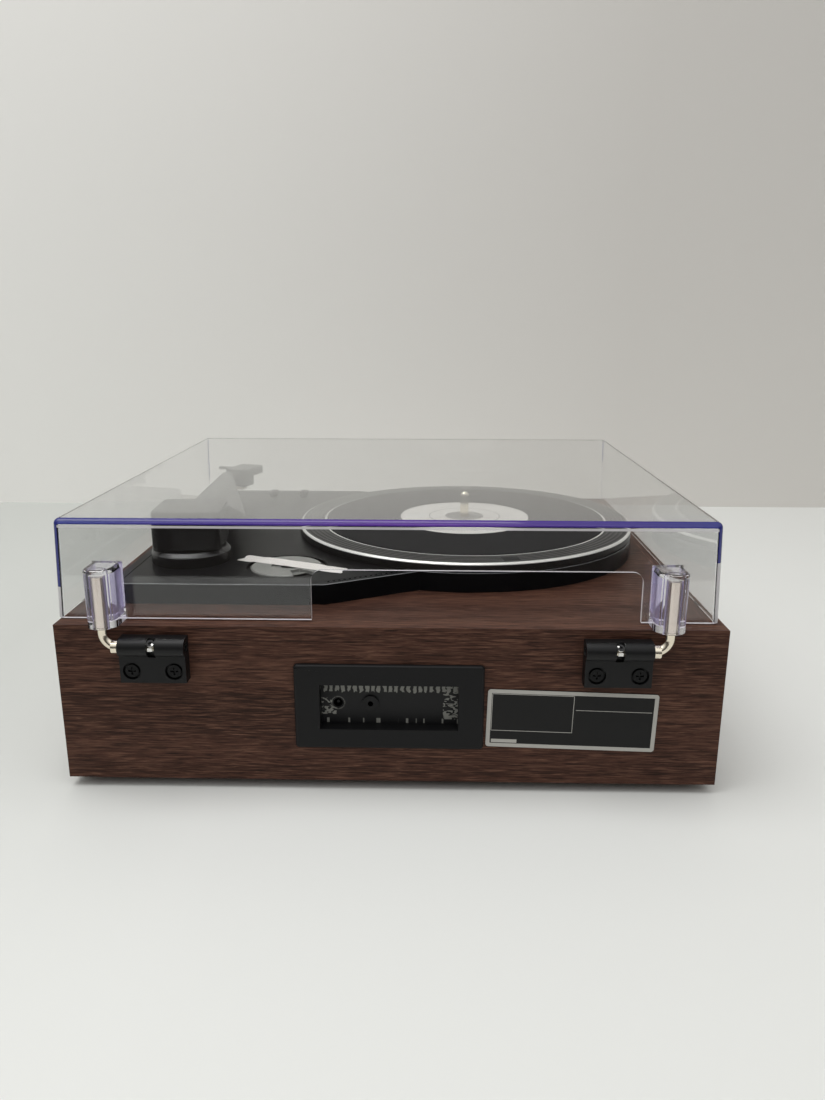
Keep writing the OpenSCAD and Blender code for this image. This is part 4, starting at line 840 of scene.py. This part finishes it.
# pieces that keep the CAD shape, with their edges eased
eased = [
    ("arm_base", "armBase", "cabinet", "black_gloss", blackGloss, 0.0008),
    ("arm_cover", "armCover", "arm_swing", "black_gloss", blackGloss, 0.001),
    ("headshell", "headShell", "arm_lift", "black_gloss", armBlack, 0.0004),
    ("cartridge", "cartridgeBody", "arm_lift", "black_gloss", blackGloss, 0.0005),
    ("adapter", "adapterDisc", "adapter", "adapter", adapterGrey, 0.0004),
    ("hinge_left", "hingeLeft", "cabinet", "black_satin", blackSatin, 0.0004),
    ("hinge_right", "hingeRight", "cabinet", "black_satin", blackSatin, 0.0004),
    ("control_plate", "controlPlate", "cabinet", "black_satin", blackSatin, 0.0005),
    ("volume_knob", "volumeKnob", "volume_knob", "black_gloss", volumeBlack, 0.0006),
    ("function_knob", "functionKnob", "function_knob", "black_gloss", functionBlack, 0.0006),
    ("feet", "rubberFeet", "cabinet", "rubber", rubber, 0.0008),
    ("cue_lever", "cueLever", "cue_lever", "black_gloss", blackGloss, 0.0004),
    ("speed_switch", "speedSwitch", "speed_switch", "black_gloss", blackGloss, 0.0003),
    ("stop_switch", "stopSwitch", "stop_switch", "black_gloss", blackGloss, 0.0003),
    ("platter", "platterDish", "platter", "black_gloss", platterBlack, 0.0004),
]
for row in eased:
    easedNode(*row)
print("edges eased on", len(eased), "pieces")


# the arm base's upper edge, painted grey as a painted highlight of the light it catches
armRoll = {"steepest": 0.2, "flattest": 0.95}


def paintArmRoll():
    piece = bpy.data.objects["armBase"]
    piece.data.materials.append(baseRollHighlight)
    for polygon in piece.data.polygons:
        onRoll = armRoll["steepest"] < polygon.normal.z < armRoll["flattest"]
        polygon.material_index = 1 if onRoll else 0


paintArmRoll()


# jack bezel, with its outer front edge rolled
bezel = {"roll": 0.0021, "margin": 0.008, "ease": 0.0003}


def makeBezel():
    piece = cadCopy("jack_bezel", "jackBezel")
    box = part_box("jack_bezel")

    def outerFront(first, second):
        inside = inFrom((first + second) / 2, box, bezel["margin"], (0, 2))
        return bothAt(first, second, 1, box[1][1]) and not inside

    selectEdges(piece, outerFront, 60)
    bpy.ops.mesh.bevel(offset=bezel["roll"], segments=4, affect="EDGES", clamp_overlap=True)
    editDone()
    ease(piece, bezel["ease"], 2, 50)
    smooth(piece, 50)
    finishPiece(piece, "jackBezel", "cabinet", "black_satin", bezelBlack)
    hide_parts("jack_bezel")
    print("jack bezel made")


makeBezel()


# rating plate, bare: silver border and plain dividing lines
ratingPlate = {"size": (0.11, 0.0006, 0.0405), "corner": 0.002, "border": 0.0026, "tilt": -1.5,
               "step": 0.0002, "sunk": 0.00012, "middle": 0.001, "thick": 0.00035, "ink": 0.00008,
               "lines": (((-0.0007, 0.0171), (0.0519, 0.0171)), ((-0.0007, -0.0086), (0.0519, -0.0086)),
                         ((-0.0007, 0.0171), (-0.0007, -0.0086)), ((0.0519, 0.0171), (0.0519, -0.0086)),
                         ((-0.0512, 0.0074), (-0.0025, 0.0074))),
               "strip": ((0.0515, -0.0148), (0.0348, -0.0172))}


def addStrip(start, end, thick, face):
    size = (abs(start[0] - end[0]) + thick, ratingPlate["ink"], abs(start[1] - end[1]) + thick)
    strip = addBlock("line", size, ((start[0] + end[0]) / 2, face, (start[1] + end[1]) / 2))
    paint(strip, labelBlack, labelSilver)
    for polygon in strip.data.polygons:
        polygon.material_index = 1
    return strip


def makeRatingPlate():
    low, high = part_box("rating_plate")
    depth = ratingPlate["size"][1]
    plate = addBlock("ratingPlate", ratingPlate["size"], (0, 0, 0))

    def upright(first, second):
        return abs(first.y - second.y) > depth / 2

    selectFaces(plate, lambda centre, normal: normal.y > facing["rearward"])
    bpy.ops.mesh.inset(thickness=ratingPlate["border"], depth=0)
    bpy.ops.mesh.inset(thickness=ratingPlate["step"], depth=-ratingPlate["sunk"])
    editDone()
    selectEdges(plate, upright, 60)
    bpy.ops.mesh.bevel(offset=ratingPlate["corner"], segments=5, affect="EDGES")
    editDone()
    paint(plate, labelBlack, labelSilver)
    for polygon in plate.data.polygons:
        inner = max(abs(polygon.center.x), abs(polygon.center.z)) < ratingPlate["middle"]
        border = polygon.normal.y > facing["rearward"] and not inner
        polygon.material_index = 1 if border else 0
    face = depth / 2 - ratingPlate["sunk"]
    strips = [addStrip(start, end, ratingPlate["thick"], face) for start, end in ratingPlate["lines"]]
    strips.append(addStrip(*ratingPlate["strip"], 0, face))
    plate = joinPieces([plate] + strips, "ratingPlate")
    plate.rotation_euler = (0, math.radians(ratingPlate["tilt"]), 0)
    plate.location = [(low[axis] + high[axis]) / 2 for axis in range(3)]
    finishPiece(plate, "ratingPlate", "cabinet", "black_satin")
    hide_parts("rating_plate")
    print("rating plate made")


makeRatingPlate()


# strip of white packing tape across the adapter
tape = {"corners": ((0.118, 0.09735), (0.112, 0.08335), (0.034, 0.11735), (0.038, 0.13035)), "over": 0.13008,
        "beside": 0.12962, "edge": 0.0262, "far": 0.0296, "thick": 0.00016, "ragged": 0.012, "teeth": 9,
        "wrinkle": 0.00009}


def makeTape():
    deselectAll()
    bpy.ops.mesh.primitive_grid_add(x_subdivisions=60, y_subdivisions=8, size=1)
    strip = bpy.context.object
    startRear, startFront, endFront, endRear = [Vector(corner) for corner in tape["corners"]]
    for vertex in strip.data.vertices:
        along = vertex.co.x + 0.5
        across = vertex.co.y + 0.5
        outward = 1 if along > 0.5 else -1
        along += tape["ragged"] * math.sin(across * tape["teeth"]) * outward * abs(2 * along - 1) ** 8
        front = startFront.lerp(endFront, along)
        rear = startRear.lerp(endRear, along)
        place = front.lerp(rear, across)
        away = awayFrom(place, deck["adapter"])
        rise = min(1, max(0, (tape["far"] - away) / (tape["far"] - tape["edge"])))
        rise = rise * rise * (3 - 2 * rise)
        height = tape["beside"] + (tape["over"] - tape["beside"]) * rise
        wave = math.sin(along * 31 + across * 2.5) * math.cos(across * 5 + along * 8)
        vertex.co = (place.x, place.y, height + tape["wrinkle"] * (1 + wave))
    wall = strip.modifiers.new("thick", "SOLIDIFY")
    wall.thickness = tape["thick"]
    wall.offset = 1
    applyModifiers(strip)
    editAll(strip)
    bpy.ops.mesh.normals_make_consistent(inside=False)
    editDone()
    smooth(strip, 50)
    finishPiece(strip, "packingTape", "adapter", "stylus", tapeWhite)
    print("tape laid")


makeTape()


# bright clamp nut that shows in each hinge's slot
clampNut = {"size": (0.0034, 0.0012, 0.0021), "axis": (0.20755, 0.103), "proud": 0.0051, "round": 0.0003}


def hingeMiddle(node):
    low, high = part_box(node)
    return Vector(((low[0] + high[0]) / 2, *clampNut["axis"]))


def makeClampNuts():
    for node, word in (("hinge_right", "Right"), ("hinge_left", "Left")):
        place = hingeMiddle(node) + Vector((0, clampNut["proud"], 0))
        nut = addBlock("clampNut" + word, clampNut["size"], place)
        ease(nut, clampNut["round"], 2, 30)
        smooth(nut, 50)
        finishPiece(nut, "clampNut" + word, "cabinet", "nickel", brightSteel)
    print("clamp nuts set")


makeClampNuts()


# friction screws: a bright rim round a socket painted black, as painted shade in it
frictionScrew = {"socket": 0.0012, "axis": Vector((0, math.sqrt(0.5), math.sqrt(0.5))),
                 "endOn": 0.9, "sideOn": 0.1}


def makeFrictionScrews():
    piece = cadCopy("friction_screws", "frictionScrews")
    finishPiece(piece, "frictionScrews", "cabinet", "nickel", brightSteel, blackMatte)
    axis = frictionScrew["axis"]
    centres = [hingeMiddle(node) for node in ("hinge_left", "hinge_right")]
    for polygon in piece.data.polygons:
        turned = polygon.normal.dot(axis)
        inLine = turned > frictionScrew["endOn"] or abs(turned) < frictionScrew["sideOn"]
        for centre in centres:
            away = polygon.center - centre
            aside = (away - axis * away.dot(axis)).length
            # faces in the socket are painted black as painted shade
            if aside < frictionScrew["socket"] and inLine:
                polygon.material_index = 1
    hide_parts("friction_screws")
    print("friction screws made")


makeFrictionScrews()


# small dark pad on the platter's rim band
rimPad = {"reach": 0.1298, "turn": 103, "size": (0.0125, 0.0085, 0.0007), "ease": 0.0003, "sunk": 0.0002}


def makeRimPad():
    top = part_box("platter")[1][2]
    pad = addBlock("rimPad", rimPad["size"], (0, 0, 0))
    ease(pad, rimPad["ease"], 2, 30)
    turn = math.radians(rimPad["turn"])
    pad.rotation_euler = (0, 0, turn - math.pi / 2)
    pad.location = (deck["spindle"][0] + rimPad["reach"] * math.cos(turn),
                    deck["spindle"][1] + rimPad["reach"] * math.sin(turn), top - rimPad["sunk"])
    finishPiece(pad, "rimPad", "platter", "rubber", rubber)
    print("rim pad set")


makeRimPad()


# woven cloth stretched over each speaker grille
grilleCloth = {"corner": 0.006, "proud": 0.0003, "wrap": 0.0034, "roll": 0.0014, "thick": 0.0003}


def makeGrilleCloth(node, name):
    low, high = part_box(node)
    width = high[0] - low[0] + 2 * grilleCloth["proud"]
    height = high[2] - low[2] + 2 * grilleCloth["proud"]
    front = low[1] - grilleCloth["proud"]
    deselectAll()
    bpy.ops.mesh.primitive_plane_add(size=1, rotation=(math.radians(90), 0, 0),
                                     location=((low[0] + high[0]) / 2, front, (low[2] + high[2]) / 2))
    cloth = bpy.context.object
    cloth.scale = (width, height, 1)
    applyPlace(cloth)
    editAll(cloth)
    bpy.ops.mesh.bevel(offset=grilleCloth["corner"], segments=8, affect="VERTICES")
    bpy.ops.mesh.select_all(action="SELECT")
    bpy.ops.mesh.select_mode(type="EDGE")
    bpy.ops.mesh.extrude_edges_move(TRANSFORM_OT_translate={"value": (0, grilleCloth["wrap"], 0)})
    editDone()

    def frontRim(first, second):
        return bothAt(first, second, 1, front)

    selectEdges(cloth, frontRim, 60)
    bpy.ops.mesh.bevel(offset=grilleCloth["roll"], segments=4, affect="EDGES")
    bpy.ops.mesh.select_all(action="SELECT")
    bpy.ops.mesh.normals_make_consistent(inside=False)
    editDone()
    wall = cloth.modifiers.new("thick", "SOLIDIFY")
    wall.thickness = grilleCloth["thick"]
    wall.offset = -1 if cloth.data.polygons[0].normal.y < 0 else 1
    applyModifiers(cloth)
    smooth(cloth, 60)
    finishPiece(cloth, name, "cabinet", "cloth", grilleWeave)
    print(name, "stretched")


makeGrilleCloth("grille_left", "grilleClothLeft")
makeGrilleCloth("grille_right", "grilleClothRight")


# dial marks round the two knobs
dialMarks = {"reach": (0.0146, 0.0168), "wide": 0.0006, "thick": 0.00012, "volume": (-140, 140, 11),
             "function": (-60, 60, 3)}


def makeDialMarks(word, centre):
    first, last, count = dialMarks[word]
    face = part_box("control_plate")[0][1]
    inner, outer = dialMarks["reach"]
    reach = (inner + outer) / 2
    size = (dialMarks["wide"], 2 * dialMarks["thick"], outer - inner)
    marks = []
    for index in range(count):
        turn = math.radians(first + (last - first) * index / (count - 1))
        mark = addBlock("mark", size, (0, 0, 0))
        ease(mark, dialMarks["thick"] / 2, 1, 30)
        mark.rotation_euler = (0, turn, 0)
        mark.location = (centre + reach * math.sin(turn), face, dial["height"] + reach * math.cos(turn))
        applyPlace(mark)
        marks.append(mark)
    marks = joinPieces(marks, word + "Marks")
    finishPiece(marks, word + "Marks", "cabinet", "stylus", dialWhite)
    print(word, "marks painted")


makeDialMarks("volume", dial["centres"][0])
makeDialMarks("function", dial["centres"][1])


# stage: pale floor and wall, the floor painted darker towards +X and the rear as painted shade and the wall
# painted lighter towards +X as painted light, a sky that is dark at the horizon, and a soft lamp above
stage = {"floor": srgb(220, 221, 218), "floorShaded": srgb(196, 198, 194), "floorTo": 0.78,
         "sideFade": (0.12, 0.38), "frontFade": (0.2, 0.5), "floorRough": 0.6,
         "wallLit": srgb(245, 244, 240), "wallShaded": srgb(219, 216, 211), "wallAt": -0.709,
         "wallFade": (-0.35, 0.65), "wallRough": 0.8, "wide": 6, "high": 3, "backdrop": srgb(204, 202, 197),
         "sky": ((0.0, (0.16, 0.13, 0.11)), (0.48, (0.07, 0.065, 0.06)), (0.6, (0.1, 0.098, 0.095)),
                 (0.7, (0.45, 0.45, 0.445)), (0.82, (1.05, 1.05, 1.04)))}
softLamp = {"place": (0.5, 0.3, 1.9), "size": (1.6, 1.2), "tilt": (-8, 14, 0), "power": 18}


def addPlane(name, size, place, tip):
    deselectAll()
    bpy.ops.mesh.primitive_plane_add(size=1, location=(0, 0, 0))
    plane = bpy.context.object
    plane.name = name
    plane.scale = (*size, 1)
    plane.rotation_euler = (math.radians(tip), 0, 0)
    plane.location = place
    applyPlace(plane)
    return plane


def makeFloor():
    front = stage["floorTo"]
    rear = stage["wallAt"]
    floor = addPlane("floor", (stage["wide"], front - rear), (0, (front + rear) / 2, 0), 0)
    material, tree, shader = newMaterial("floorPale")
    x, y, z = axes(tree, objectCoords(tree))
    # painted shade: the floor darkens towards +X and towards the rear
    beside = maths(tree, "MULTIPLY", mapTo(tree, x, 0, 1, *stage["sideFade"]),
                   mapTo(tree, y, 1, 0, *stage["frontFade"]))
    setInputs(tree, shader, {"Base Color": mixColour(tree, beside, stage["floor"], stage["floorShaded"]),
                             "Roughness": stage["floorRough"]})
    floor.data.materials.append(material)


def makeWall():
    wall = addPlane("wall", (stage["wide"], stage["high"]), (0, stage["wallAt"], stage["high"] / 2), 90)
    material, tree, shader = newMaterial("wallPale")
    x, y, z = axes(tree, objectCoords(tree))
    # painted light: the wall lightens towards +X, the side the light comes from
    lighter = mapTo(tree, x, 0, 1, *stage["wallFade"])
    setInputs(tree, shader, {"Base Color": mixColour(tree, lighter, stage["wallShaded"], stage["wallLit"]),
                             "Roughness": stage["wallRough"]})
    wall.data.materials.append(material)


def makeSky():
    world = scene.world or bpy.data.worlds.new("world")
    scene.world = world
    world.use_nodes = True
    tree = world.node_tree
    coords = addNode(tree, "ShaderNodeTexCoord")
    x, y, z = axes(tree, coords.outputs["Generated"])
    sky = ramp(tree, mapTo(tree, z, 0, 1, -1, 1), stage["sky"])
    path = addNode(tree, "ShaderNodeLightPath")
    direct = maths(tree, "LESS_THAN", path.outputs["Glossy Depth"], 0.5)
    through = maths(tree, "MULTIPLY", path.outputs["Is Transmission Ray"], direct)
    seen = maths(tree, "MAXIMUM", path.outputs["Is Camera Ray"], through)
    feed(tree, tree.nodes["Background"].inputs["Color"], mixColour(tree, seen, sky, stage["backdrop"]))


def makeLamp():
    deselectAll()
    bpy.ops.object.light_add(type="AREA", location=softLamp["place"])
    lamp = bpy.context.object
    lamp.data.shape = "RECTANGLE"
    lamp.data.size, lamp.data.size_y = softLamp["size"]
    lamp.data.energy = softLamp["power"]
    lamp.rotation_euler = [math.radians(angle) for angle in softLamp["tilt"]]


makeFloor()
makeWall()
makeSky()
makeLamp()
print("stage made")
